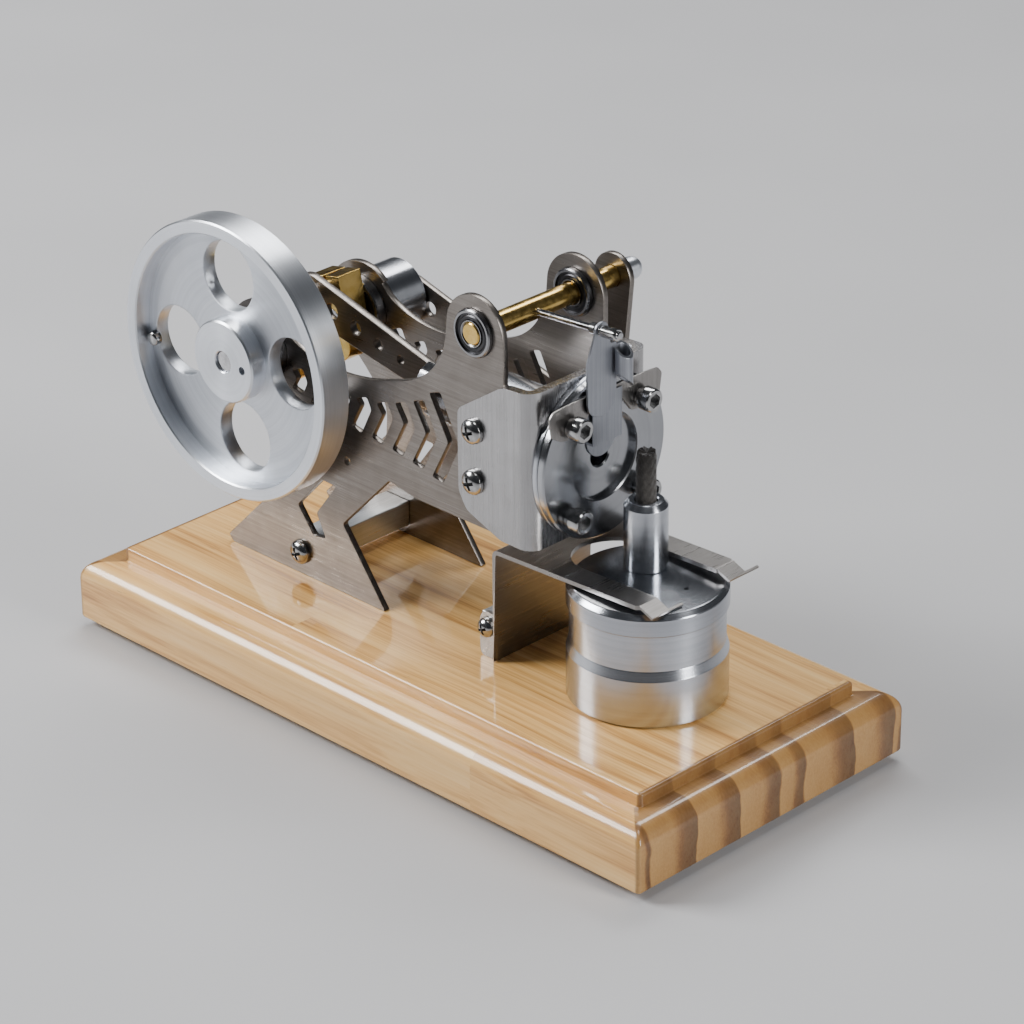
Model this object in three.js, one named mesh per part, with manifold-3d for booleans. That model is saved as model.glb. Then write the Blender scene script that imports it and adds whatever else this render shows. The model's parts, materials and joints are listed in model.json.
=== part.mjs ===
// A model flame-eater engine on a wooden base, with its spirit burner.
// Millimetres, +X along the base towards the burner, +Y away from the flywheel side, +Z up.
// The origin is at the centre of the base, on the surface that its rubber feet stand on.
import * as THREE from 'three';
import { mergeVertices } from 'three/addons/utils/BufferGeometryUtils.js';
import Module from 'manifold-3d';

const wasm = await Module();
wasm.setup();

// ---------------------------------------------------------------- driving dimensions
const TAU = Math.PI * 2;
const GAP = 0.05;                 // gap between pieces that touch
const FIT = 0.12;                 // gap round pins and screws in their holes

const FOOT_H = 2;
const BASE_L = 180;
const BASE_W = 85;
const LEDGE_H = 14.7;             // outer ledge of the board
const PANEL_H = 3.1;              // raised panel above the ledge
const INSET_X = 7.4;
const INSET_Y = 8.4;
const DECK = FOOT_H + LEDGE_H + PANEL_H;

const MID = 1.7;                  // centre plane of the engine, along Y
const PLATE_T = 1.5;
const PLATE_IN = 14.7;            // centre plane to the inner face of a side plate
const PLATE_OUT = PLATE_IN + PLATE_T;

const CRANK = { x: -53.3, z: 73.95 };
const ROCKER = { x: 15, z: 98.2 };
const CYL = { y: 2.4, z: 70.6 };  // its axis is a little off the middle of the plates
const SHAFT_R = 2.5;
const THROW = 7;                  // crank radius
const CRANK_ANGLE = 102 * Math.PI / 180;
const ROD_L = 46;                 // crank pin to wrist pin
const ECC = 3;                    // eccentric pin offset in the valve disc
const ECC_ANGLE = -20 * Math.PI / 180;

const BIG_BRG = { r: 8, w: 5 };
const SMALL_BRG = { r: 5.5, w: 4 };
const CRANK_TOWER_R = 11.2;
const ROCKER_TOWER_R = 8.6;

const WHEEL_R = 33.15;
const WHEEL_RIM = 3.2;
const WHEEL_FRONT = -26.8;
const WHEEL_W = 8;
const HUB_R = 9.8;

const BRACKET = { front: 34, t: 2.3, bend: 3.6, z0: 52.6, z1: 90, x0: 11.8 };
const FLANGE_R = 19;
const FLANGE_T = 1.3;
const HEAD_T = 2;
const BOLT = 10.8;                // half the bolt square of the head
const PORT_R = 2.75;
const SEAT_R = 10;
const SEAT_DEPTH = 1.4;
const BORE_R = 7.1;
const TUBE_R = 9.2;

const BURNER = { x: 52.6, y: 0, r: 17.8 };
const TUBE = { x: 47.8, y: 4.4, r: 4.9 };
const LID_TOP = 47.2;

// ---------------------------------------------------------------- materials
const metal = (color, roughness) => new THREE.MeshStandardMaterial({ color, roughness, metalness: 1 });
const PINE = new THREE.MeshStandardMaterial({ color: 0xe0b070, roughness: 0.35, metalness: 0 });
const RUBBER = new THREE.MeshStandardMaterial({ color: 0x1a1a1a, roughness: 0.8, metalness: 0 });
const WICK = new THREE.MeshStandardMaterial({ color: 0x3a3632, roughness: 0.95, metalness: 0 });
const SHEET = metal(0xa39c97, 0.35);
const ALU = metal(0xd6dade, 0.3);
const BRASS = metal(0xc9a14a, 0.25);
const STEEL = metal(0xb9bbbf, 0.2);

// ---------------------------------------------------------------- solids
function toSolid(geometry) {
  const bare = geometry.index ? geometry.toNonIndexed() : geometry.clone();
  bare.deleteAttribute('normal');
  bare.deleteAttribute('uv');
  const merged = mergeVertices(bare, 1e-4);
  return new wasm.Manifold(new wasm.Mesh({
    numProp: 3,
    vertProperties: new Float32Array(merged.attributes.position.array),
    triVerts: new Uint32Array(merged.index.array),
  }));
}

function toGeometry(solid) {
  const mesh = solid.getMesh();
  const geometry = new THREE.BufferGeometry();
  geometry.setAttribute('position', new THREE.BufferAttribute(mesh.vertProperties, 3));
  geometry.setIndex(new THREE.BufferAttribute(mesh.triVerts, 1));
  return geometry;
}

const union = (first, ...rest) => toGeometry(
  rest.reduce((sum, part) => sum.add(toSolid(part)), toSolid(first)));
const cut = (body, ...tools) => toGeometry(
  tools.reduce((sum, tool) => sum.subtract(toSolid(tool)), toSolid(body)));
const keep = (body, tool) => toGeometry(toSolid(body).intersect(toSolid(tool)));

const engine = new THREE.Group();

function add(name, geometry, material, parent = engine) {
  const mesh = new THREE.Mesh(geometry, material);
  mesh.name = name;
  parent.add(mesh);
  return mesh;
}

// A box between two corners.
function box(x0, x1, y0, y1, z0, z1) {
  const geometry = new THREE.BoxGeometry(x1 - x0, y1 - y0, z1 - z0);
  return geometry.translate((x0 + x1) / 2, (y0 + y1) / 2, (z0 + z1) / 2);
}

// Turns +Y of a geometry onto the axis, and moves its origin to (x, y, z).
function along(geometry, axis, x, y, z) {
  if (axis === 'x') geometry.rotateZ(-Math.PI / 2);
  if (axis === 'z') geometry.rotateX(Math.PI / 2);
  return geometry.translate(x, y, z);
}

// A round bar from a to b along an axis; (p, q) are the two other coordinates in X, Y, Z order.
function rod(axis, r, a, b, p, q, segments = 24) {
  const geometry = new THREE.CylinderGeometry(r, r, b - a, segments);
  const m = (a + b) / 2;
  if (axis === 'x') return along(geometry, 'x', m, p, q);
  if (axis === 'y') return along(geometry, 'y', p, m, q);
  return along(geometry, 'z', p, q, m);
}

// A drill for a bore of radius r: its flats stay outside that radius.
const drill = (axis, r, a, b, p, q, sides = 12) => rod(
  axis, r / Math.cos(Math.PI / sides), a, b, p, q, sides);

// A turned piece: profile points are [radius, position along the axis].
function turned(axis, profile, p, q, segments = 40) {
  const points = profile.map(([r, s]) => new THREE.Vector2(r, s));
  const area = points.reduce((sum, a, i) => {
    const b = points[(i + 1) % points.length];
    return sum + a.x * b.y - b.x * a.y;
  }, 0);
  if (area < 0) points.reverse();
  if (points.every((point) => point.x > 0)) points.push(points[0].clone());
  const geometry = new THREE.LatheGeometry(points, segments);
  if (axis === 'x') return along(geometry, 'x', 0, p, q);
  if (axis === 'y') return along(geometry, 'y', p, 0, q);
  return geometry.rotateX(Math.PI / 2).translate(p, q, 0);
}

const polygon = (points) => new THREE.Shape(points.map(([a, b]) => new THREE.Vector2(a, b)));

// A flat plate drawn in X and Z, from y0 to y0 + t.
function plateXZ(shape, y0, t, curve = 8) {
  const options = { depth: t, bevelEnabled: false, curveSegments: curve };
  return new THREE.ExtrudeGeometry(shape, options).rotateX(Math.PI / 2).translate(0, y0 + t, 0);
}

// A flat plate drawn in Y and Z, from x0 to x0 + t.
function plateYZ(shape, x0, t, curve = 8) {
  const options = { depth: t, bevelEnabled: false, curveSegments: curve };
  const basis = new THREE.Matrix4().makeBasis(
    new THREE.Vector3(0, 1, 0), new THREE.Vector3(0, 0, 1), new THREE.Vector3(1, 0, 0));
  return new THREE.ExtrudeGeometry(shape, options).applyMatrix4(basis).translate(x0, 0, 0);
}

// A round hole in a flat shape: its flats stay outside the radius r.
function roundHole(shape, a, b, r, sides = 12) {
  const reach = r / Math.cos(Math.PI / sides);
  const points = Array.from({ length: sides }, (_, i) => new THREE.Vector2(
    a + reach * Math.cos(TAU * i / sides), b - reach * Math.sin(TAU * i / sides)));
  shape.holes.push(new THREE.Path(points));
}

// ---------------------------------------------------------------- base
function roundedRect(length, width, r) {
  const a = length / 2;
  const b = width / 2;
  const shape = new THREE.Shape();
  shape.moveTo(-a + r, -b);
  shape.lineTo(a - r, -b);
  shape.absarc(a - r, -b + r, r, -Math.PI / 2, 0, false);
  shape.lineTo(a, b - r);
  shape.absarc(a - r, b - r, r, 0, Math.PI / 2, false);
  shape.lineTo(-a + r, b);
  shape.absarc(-a + r, b - r, r, Math.PI / 2, Math.PI, false);
  shape.lineTo(-a, -b + r);
  shape.absarc(-a + r, -b + r, r, Math.PI, Math.PI * 1.5, false);
  return shape;
}

function makeBase() {
  const round = 4.5;
  const ledge = new THREE.ExtrudeGeometry(roundedRect(BASE_L - 2 * round, BASE_W - 2 * round, 1), {
    depth: LEDGE_H - round, bevelThickness: round, bevelSize: round, bevelSegments: 4, curveSegments: 2,
  });
  ledge.translate(0, 0, FOOT_H);
  const below = box(-BASE_L, BASE_L, -BASE_W, BASE_W, -20, FOOT_H);
  const panel = new THREE.ExtrudeGeometry(
    roundedRect(BASE_L - 2 * INSET_X - 1.2, BASE_W - 2 * INSET_Y - 1.2, 0.4), {
      depth: LEDGE_H / 2 + PANEL_H - 0.6, bevelThickness: 0.6, bevelSize: 0.6, bevelSegments: 2,
      curveSegments: 3,
    });
  panel.translate(0, 0, FOOT_H + LEDGE_H / 2);
  add('base_board', toGeometry(toSolid(ledge).subtract(toSolid(below)).add(toSolid(panel))), PINE);
  const spots = [[-78, -31], [78, -31], [-78, 31], [78, 31]];
  spots.forEach(([x, y], i) => {
    const profile = [[0, 0], [6, 0], [6, FOOT_H - GAP], [0, FOOT_H - GAP]];
    add(`rubber_foot_${i + 1}`, turned('z', profile, x, y, 16), RUBBER);
  });
}

// ---------------------------------------------------------------- side plates
const SLOT_TOPS = [80.7, 77.1, 74.8, 72.9, 72, 71.4, 71.4, 72.4];
const SLOT_ENDS = [58.9, 60.2, 61.3, 62.1, 62.6, 63.2, 64.2, 66];
const FOOT_SCREW = { x: -42.6, z: 25.6 };
const BRACKET_SCREW_X = 16.8;
const BRACKET_SCREW_Z = [64.3, 76.4];

// An arrow-shaped slot with its tip at (tipX, 69.3), pointing along +X.
function arrowSlot(tipX, top, end) {
  const tipZ = 69.3;
  const lean = 0.5;
  const w = 3.4;
  const up = (top - tipZ) * lean;
  const down = (tipZ - end) * lean;
  return new THREE.Path([
    [tipX, tipZ], [tipX - up, top], [tipX - up - w, top - 1.2],
    [tipX - w, tipZ], [tipX - down - w, end + 0.6], [tipX - down, end],
  ].map(([a, b]) => new THREE.Vector2(a, b)));
}

function plateShape() {
  const shape = new THREE.Shape();
  shape.moveTo(-68, 21.4);
  shape.lineTo(-66.6, DECK);
  shape.lineTo(-15, DECK);
  shape.lineTo(-28.4, 37.5);
  shape.lineTo(-12.8, 53.6);
  shape.lineTo(-2.3, 52.1);
  shape.lineTo(28.6, 52.1);
  shape.lineTo(28.6, 88);
  shape.lineTo(ROCKER.x + ROCKER_TOWER_R, 88);
  shape.lineTo(ROCKER.x + ROCKER_TOWER_R, ROCKER.z);
  shape.absarc(ROCKER.x, ROCKER.z, ROCKER_TOWER_R, 0, Math.PI, false);
  shape.bezierCurveTo(6, 86, -2, 81, -11.7, 78.5);
  shape.bezierCurveTo(-19, 76, -27, 74.8, -33, 75.6);
  shape.bezierCurveTo(-40, 76.5, -44, 78.5, -46.6, 81.6);
  const start = Math.atan2(81.6 - CRANK.z, -46.6 - CRANK.x);
  shape.lineTo(CRANK.x + CRANK_TOWER_R * Math.cos(start), CRANK.z + CRANK_TOWER_R * Math.sin(start));
  shape.absarc(CRANK.x, CRANK.z, CRANK_TOWER_R, start, Math.PI * 1.2, false);
  shape.lineTo(-50.5, 56.5);
  shape.lineTo(-46.3, 50.5);
  shape.lineTo(-46.3, 43.5);
  return shape;
}

function makePlate(name, y0) {
  const shape = plateShape();
  roundHole(shape, CRANK.x, CRANK.z, BIG_BRG.r + GAP, 28);
  roundHole(shape, ROCKER.x, ROCKER.z, SMALL_BRG.r + GAP, 20);
  roundHole(shape, FOOT_SCREW.x, FOOT_SCREW.z, 1.5 + FIT);
  BRACKET_SCREW_Z.forEach((z) => roundHole(shape, BRACKET_SCREW_X, z, 1.5 + FIT));
  roundHole(shape, -26.4, 54, 1, 8);
  SLOT_TOPS.forEach((top, i) => shape.holes.push(arrowSlot(9.8 - 6.95 * i, top, SLOT_ENDS[i])));
  shape.holes.push(new THREE.Path([
    [-43.4, 37.4], [-38.5, 31.1], [-34.3, 31.8], [-37.2, 37.3], [-30.4, 46.2], [-35, 46.4],
  ].map(([a, b]) => new THREE.Vector2(a, b))));
  add(name, plateXZ(shape, y0, PLATE_T), SHEET);
}

// A pan-head screw along Y. The head's flat side is at y, and dir (-1 or 1) points out of it.
function panScrew(name, x, y, z, dir, length, head = 2.9) {
  const profile = [
    [0, -length], [1.5, -length], [1.5, 0], [head, 0], [head, 0.7], [head - 0.5, 1.6],
    [head - 1.4, 2.2], [0, 2.2],
  ].map(([r, s]) => [r, y + dir * s]);
  add(name, turned('y', profile, x, z, 10), STEEL);
}

function makeFrame() {
  makePlate('side_plate_near', MID - PLATE_OUT);
  makePlate('side_plate_far', MID + PLATE_IN);

  const bar = box(-46.8, -39, MID - PLATE_IN + GAP, MID + PLATE_IN - GAP, 22.4, 28.8);
  const holes = [-1, 1].map((dir) => {
    const a = MID + dir * (PLATE_IN + 1);
    const b = MID + dir * (PLATE_IN - 9);
    return drill('y', 1.5 + FIT, Math.min(a, b), Math.max(a, b), FOOT_SCREW.x, FOOT_SCREW.z);
  });
  add('cross_bar', cut(bar, ...holes), ALU);
  panScrew('foot_screw_near', FOOT_SCREW.x, MID - PLATE_OUT - GAP, FOOT_SCREW.z, -1, 9);
  panScrew('foot_screw_far', FOOT_SCREW.x, MID + PLATE_OUT + GAP, FOOT_SCREW.z, 1, 9);
}

// ---------------------------------------------------------------- front bracket, cylinder, head
// The bent U seen from above, with a bend of radius r at its two corners.
function bracketOutline() {
  const inner = PLATE_OUT + GAP;
  const outer = inner + BRACKET.t;
  const { front, t, x0, bend: r } = BRACKET;
  const shape = new THREE.Shape();
  shape.moveTo(x0, MID - outer);
  shape.lineTo(front - r, MID - outer);
  shape.absarc(front - r, MID - outer + r, r, -Math.PI / 2, 0, false);
  shape.lineTo(front, MID + outer - r);
  shape.absarc(front - r, MID + outer - r, r, 0, Math.PI / 2, false);
  shape.lineTo(x0, MID + outer);
  shape.lineTo(x0, MID + inner);
  shape.lineTo(front - r, MID + inner);
  shape.absarc(front - r, MID + outer - r, r - t, Math.PI / 2, 0, true);
  shape.lineTo(front - t, MID - outer + r);
  shape.absarc(front - r, MID - outer + r, r - t, 0, -Math.PI / 2, true);
  shape.lineTo(x0, MID - inner);
  return shape;
}

function boltSpots() {
  return [[-1, -1], [1, -1], [-1, 1], [1, 1]].map(([a, b]) => [CYL.y + a * BOLT, CYL.z + b * BOLT]);
}

function makeBracket() {
  const { z0, z1, x0, front } = BRACKET;
  const options = { depth: z1 - z0, bevelEnabled: false, curveSegments: 4 };
  const bent = new THREE.ExtrudeGeometry(bracketOutline(), options);
  bent.translate(0, 0, z0);
  const side = polygon([[x0, 60.6], [14.2, 56.6], [24.6, z0], [front + 1, z0], [front + 1, z1],
    [25.4, z1 - 0.6], [x0, 80.2]]);
  const flanks = plateXZ(side, MID - 30, 60);
  const tools = boltSpots().map(([y, z]) => drill('x', 1.5 + FIT, front - 3, front + 1, y, z, 12));
  tools.push(drill('x', TUBE_R + GAP, front - 3, front + 1, CYL.y, CYL.z, 32));
  BRACKET_SCREW_Z.forEach((z) => {
    tools.push(drill('y', 1.5 + FIT, MID - 30, MID + 30, BRACKET_SCREW_X, z));
  });
  add('front_bracket', cut(keep(bent, flanks), ...tools), SHEET);
  const face = PLATE_OUT + BRACKET.t + 2 * GAP;
  ['bottom', 'top'].forEach((level, i) => {
    const z = BRACKET_SCREW_Z[i];
    panScrew(`bracket_screw_near_${level}`, BRACKET_SCREW_X, MID - face, z, -1, 4.2);
    panScrew(`bracket_screw_far_${level}`, BRACKET_SCREW_X, MID + face, z, 1, 4.2);
  });
}

const FLANGE_X = BRACKET.front + GAP;
const HEAD_X = FLANGE_X + FLANGE_T + GAP;
const HEAD_FACE = HEAD_X + HEAD_T;
const SCREW_SEAT = HEAD_FACE + 1.6;

function makeCylinder() {
  const profile = [
    [BORE_R, 4], [TUBE_R, 4], [TUBE_R, FLANGE_X], [FLANGE_R, FLANGE_X],
    [FLANGE_R, FLANGE_X + FLANGE_T], [BORE_R, FLANGE_X + FLANGE_T],
  ];
  const holes = boltSpots().map(([y, z]) => drill('x', 1.5 + FIT, FLANGE_X - 1, HEAD_FACE + 1, y, z, 10));
  add('cylinder', cut(turned('x', profile, CYL.y, CYL.z, 32), ...holes), ALU);

  const floor = HEAD_FACE - SEAT_DEPTH;
  const head = [
    [PORT_R, HEAD_X], [FLANGE_R, HEAD_X], [FLANGE_R, HEAD_FACE], [SEAT_R, HEAD_FACE], [SEAT_R, floor],
    [PORT_R, floor],
  ];
  add('head_plate', cut(turned('x', head, CYL.y, CYL.z, 32), ...holes), ALU);

  boltSpots().forEach(([y, z], i) => {
    const screw = turned('x', [
      [0, BRACKET.front - 3.2], [1.5, BRACKET.front - 3.2], [1.5, SCREW_SEAT], [2.75, SCREW_SEAT],
      [2.75, SCREW_SEAT + 3], [0, SCREW_SEAT + 3],
    ], y, z, 14);
    const hex = along(new THREE.CylinderGeometry(1.45, 1.45, 3, 6), 'x', SCREW_SEAT + 3, y, z);
    add(`head_screw_${i + 1}`, cut(screw, hex), STEEL);
    const from = z < CYL.z ? HEAD_FACE + GAP : STRAP.x + STRAP.t + GAP;
    const ring = [[1.5 + FIT, from], [2.2, from], [2.2, SCREW_SEAT - GAP], [1.5 + FIT, SCREW_SEAT - GAP]];
    add(`head_spacer_${i + 1}`, turned('x', ring, y, z, 12), STEEL);
  });
}

// ---------------------------------------------------------------- crank, rod, piston
const PIN = {
  x: CRANK.x + THROW * Math.cos(CRANK_ANGLE),
  z: CRANK.z + THROW * Math.sin(CRANK_ANGLE),
};
const WRIST = {
  x: PIN.x + Math.sqrt(ROD_L ** 2 - (PIN.z - CYL.z) ** 2),
  z: CYL.z,
};
const WEB_GAP = 4.3;              // centre plane to the inner face of a crank web
const WEB_T = 7;
const ROD_T = 2;
const WEB_OUT = WEB_GAP + WEB_T;

function makeWeb(name, y0) {
  const half = 4.75;
  const web = box(-half, half, y0, y0 + WEB_T, -10.4, 10.4);
  const slit = box(-0.35, 0.35, y0 - 1, y0 + WEB_T + 1, THROW, 12);
  const round = rod('y', half, y0, y0 + WEB_T, 0, -10.4 + half, 24);
  const lower = box(-half, half, y0, y0 + WEB_T, -10.4 + half, 10.4);
  const blank = keep(web, union(lower, round));
  const shaft = drill('y', SHAFT_R + 0.03, y0 - 1, y0 + WEB_T + 1, 0, 0);
  const pin = drill('y', 2 + 0.03, y0 - 1, y0 + WEB_T + 1, 0, THROW);
  const geometry = cut(blank, slit, shaft, pin);
  geometry.rotateY(-(CRANK_ANGLE - Math.PI / 2));
  geometry.translate(CRANK.x, 0, CRANK.z);
  add(name, geometry, BRASS);
}

function bearing(name, x, z, brg, y0) {
  const y1 = y0 + brg.w;
  const bore = SHAFT_R + GAP;
  add(name, turned('y', [[bore, y0], [brg.r, y0], [brg.r, y1], [bore, y1]], x, z, 24), STEEL);
}

function makeFlywheel() {
  const rimIn = WHEEL_R - WHEEL_RIM;
  const back = WHEEL_FRONT + WHEEL_W;
  const webFront = WHEEL_FRONT + 4.2;
  const webBack = webFront + 3.6;
  const profile = [
    [SHAFT_R + 0.03, WHEEL_FRONT], [HUB_R, WHEEL_FRONT], [HUB_R, webFront], [rimIn, webFront],
    [rimIn, WHEEL_FRONT], [WHEEL_R, WHEEL_FRONT], [WHEEL_R, back], [rimIn, back], [rimIn, webBack],
    [HUB_R, webBack], [HUB_R, back], [SHAFT_R + 0.03, back],
  ];
  const tools = [0, 1, 2, 3].map((i) => {
    const a = (5.5 + 90 * i) * Math.PI / 180;
    const x = CRANK.x + 19.3 * Math.cos(a);
    const z = CRANK.z + 19.3 * Math.sin(a);
    return rod('y', 8.3, WHEEL_FRONT - 1, back + 1, x, z, 16);
  });
  tools.push(rod('y', 1, WHEEL_FRONT - 1, WHEEL_FRONT + 3, CRANK.x + 6.4, CRANK.z - 0.2, 8));
  add('flywheel', cut(turned('y', profile, CRANK.x, CRANK.z, 48), ...tools), ALU);
  const a = 187.3 * Math.PI / 180;
  const px = CRANK.x + 27.7 * Math.cos(a);
  const pz = CRANK.z + 27.7 * Math.sin(a);
  add('start_pin', turned('y', [[0, webFront - GAP], [1.8, webFront - GAP], [1.8, webFront - 1.4],
    [1.3, webFront - 1.9], [0, webFront - 2]], px, pz, 16), STEEL);
}

const DISC_Y0 = 19.4;
const DISC_W = 10;
const PUSH_Y = 30;

function makeCrank() {
  const shaftFar = DISC_Y0 + 6.8;
  const shaftNear = WHEEL_FRONT + 0.6;
  add('crankshaft_near', rod('y', SHAFT_R, shaftNear, CYL.y - WEB_GAP - 0.2, CRANK.x, CRANK.z, 16), STEEL);
  add('crankshaft_far', rod('y', SHAFT_R, CYL.y + WEB_GAP + 0.2, shaftFar, CRANK.x, CRANK.z, 16), STEEL);
  makeWeb('crank_web_near', CYL.y - WEB_OUT);
  makeWeb('crank_web_far', CYL.y + WEB_GAP);
  add('crank_pin', rod('y', 2, CYL.y - WEB_OUT + 0.5, CYL.y + WEB_OUT - 0.5, PIN.x, PIN.z, 14), STEEL);
  bearing('crank_bearing_near', CRANK.x, CRANK.z, BIG_BRG, MID - PLATE_IN - 3.4);
  bearing('crank_bearing_far', CRANK.x, CRANK.z, BIG_BRG, MID + PLATE_IN - 2.6);
  makeFlywheel();

  const bottom = DISC_Y0 + 7;
  const bore = SHAFT_R + 0.03;
  const disc = turned('y', [
    [0, bottom], [bore, bottom], [bore, DISC_Y0], [8.2, DISC_Y0], [8.2, DISC_Y0 + DISC_W],
    [0, DISC_Y0 + DISC_W],
  ], CRANK.x, CRANK.z, 28);
  const px = CRANK.x + ECC * Math.cos(ECC_ANGLE);
  const pz = CRANK.z + ECC * Math.sin(ECC_ANGLE);
  add('valve_disc', cut(disc, drill('y', 1.5 + 0.03, DISC_Y0 + 7.4, DISC_Y0 + DISC_W + 1, px, pz)), ALU);
  const head = PUSH_Y + ROD_T - 0.4 + 0.3;
  add('eccentric_pin', turned('y', [[0, DISC_Y0 + 7.6], [1.5, DISC_Y0 + 7.6], [1.5, head], [2.8, head],
    [2.8, head + 1.4], [0, head + 1.4]], px, pz, 14), STEEL);
  return { x: px, z: pz };
}

// A flat rod with round ends, drawn in X and Z.
function rodShape(a, ra, b, rb) {
  const angle = Math.atan2(b.z - a.z, b.x - a.x);
  const tilt = Math.acos((ra - rb) / Math.hypot(b.x - a.x, b.z - a.z));
  const shape = new THREE.Shape();
  shape.absarc(a.x, a.z, ra, angle + tilt, angle - tilt + TAU, false);
  shape.absarc(b.x, b.z, rb, angle - tilt, angle + tilt, false);
  return shape;
}

function makeRod() {
  const shape = rodShape(PIN, 5.4, WRIST, 3.6);
  roundHole(shape, PIN.x, PIN.z, 2 + 0.05);
  roundHole(shape, WRIST.x, WRIST.z, 1.5 + 0.03);
  [[7.4, 2], [15.5, 1.7], [23.2, 1.4], [30.5, 1.1]].forEach(([s, r]) => {
    const x = PIN.x + (WRIST.x - PIN.x) * s / ROD_L;
    const z = PIN.z + (WRIST.z - PIN.z) * s / ROD_L;
    roundHole(shape, x, z, r, 8);
  });
  add('conrod', plateXZ(shape, CYL.y - ROD_T / 2, ROD_T, 7), SHEET);
  const half = ROD_T / 2 + 0.3;
  add('wrist_pin', rod('y', 1.5, CYL.y - half, CYL.y + half, WRIST.x, WRIST.z, 16), STEEL);
}

// The piston's skirt is a fork: the rod moves in its slot without touching.
function makePiston() {
  const r = BORE_R - 0.06;
  const body = turned('x', [[0, WRIST.x - 5], [r, WRIST.x - 5], [r, WRIST.x + 22], [0, WRIST.x + 22]],
    CYL.y, CYL.z, 24);
  const slot = box(WRIST.x - 6, WRIST.x + 18, CYL.y - 1.9, CYL.y + 1.9, CYL.z - 10, CYL.z + 10);
  const bore = drill('y', 1.6, CYL.y - 9, CYL.y + 9, WRIST.x, WRIST.z, 10);
  add('piston', cut(body, slot, bore), STEEL);
}

// ---------------------------------------------------------------- rocker and valve
const LEVER = { x: 13, z: 57.5 };
const LEVER_Y = 28.2;
const ARM = { y: 2.6, r: 0.75, tilt: 7.54 * Math.PI / 180, skew: -6.52 * Math.PI / 180 };

// Moves a piece made along +X onto the line of the rocker arm.
function ontoArm(geometry) {
  geometry.rotateY(-ARM.tilt);
  geometry.rotateZ(ARM.skew);
  return geometry.translate(ROCKER.x, ARM.y, ROCKER.z);
}

function armBar(r, from, to) {
  const bar = new THREE.CylinderGeometry(r, r, to - from, 16);
  bar.rotateZ(-Math.PI / 2);
  return ontoArm(bar.translate((from + to) / 2, 0, 0));
}

function makeRocker() {
  const shaft = rod('y', SHAFT_R, MID - 17.4, LEVER_Y + 1.5, ROCKER.x, ROCKER.z, 16);
  add('rocker_shaft', cut(shaft, armBar(ARM.r + GAP, -2.1, 8)), BRASS);
  add('rocker_arm', armBar(ARM.r, -2, 30.5), STEEL);
  bearing('rocker_bearing_near', ROCKER.x, ROCKER.z, SMALL_BRG, MID - PLATE_OUT - 1.1);
  bearing('rocker_bearing_far', ROCKER.x, ROCKER.z, SMALL_BRG, MID + PLATE_IN - 1.4);

  const bore = ARM.r + 0.04;
  const onArm = (name, r, a, b) => {
    const ring = new THREE.LatheGeometry([
      [bore, a], [r, a], [r, b], [bore, b], [bore, a],
    ].map(([p, q]) => new THREE.Vector2(p, q)), 12);
    add(name, ontoArm(ring.rotateZ(-Math.PI / 2)), STEEL);
  };
  onArm('arm_collar', 1.25, 21.2, 23);
  onArm('arm_sleeve', 1.2, 24.9, 29.6);

  const lever = rodShape(ROCKER, 5.4, LEVER, 3.2);
  roundHole(lever, ROCKER.x, ROCKER.z, SHAFT_R + 0.03);
  roundHole(lever, LEVER.x, LEVER.z, 1.7);
  add('rocker_lever', plateXZ(lever, LEVER_Y, 1.5, 7), SHEET);
  const face = LEVER_Y + 1.6;
  add('lever_nut', turned('y', [[0, face], [2.7, face], [2.7, face + 4.6], [2.3, face + 5.8],
    [1.3, face + 6.6], [0, face + 6.9]], ROCKER.x, ROCKER.z, 16), STEEL);
}

function makePushRod(ecc) {
  const shape = rodShape(ecc, 5.4, LEVER, 3.2);
  roundHole(shape, ecc.x, ecc.z, 1.5 + 0.05);
  roundHole(shape, LEVER.x, LEVER.z, 1.5 + 0.03);
  [[5.8, 1.75], [13.5, 1.6], [21, 1.4], [28.3, 1.2]].forEach(([s, r]) => {
    const span = Math.hypot(LEVER.x - ecc.x, LEVER.z - ecc.z);
    roundHole(shape, ecc.x + (LEVER.x - ecc.x) * s / span, ecc.z + (LEVER.z - ecc.z) * s / span, r, 8);
  });
  add('push_rod', plateXZ(shape, PUSH_Y, 1.5, 7), SHEET);
  add('push_rod_pin', turned('y', [[0, PUSH_Y - 0.05], [1.5, PUSH_Y - 0.05], [1.5, PUSH_Y + 1.55],
    [2.7, PUSH_Y + 1.55], [2.7, PUSH_Y + 3], [0, PUSH_Y + 3]],
  LEVER.x, LEVER.z, 14), STEEL);
}

// The layers in front of the head: strap, reed and hanger.
const STRAP = { x: HEAD_FACE + GAP, t: 0.4 };
const REED = { x: HEAD_FACE + 0.55, t: 0.3, half: 4.5, z0: 70.4, z1: 86 };
const HANGER = { x: HEAD_FACE + 0.95, t: 0.6, eyeY: -0.1, eyeZ: 101.35 };
const ROLL = { r: 2, y: 5.2 };

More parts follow.
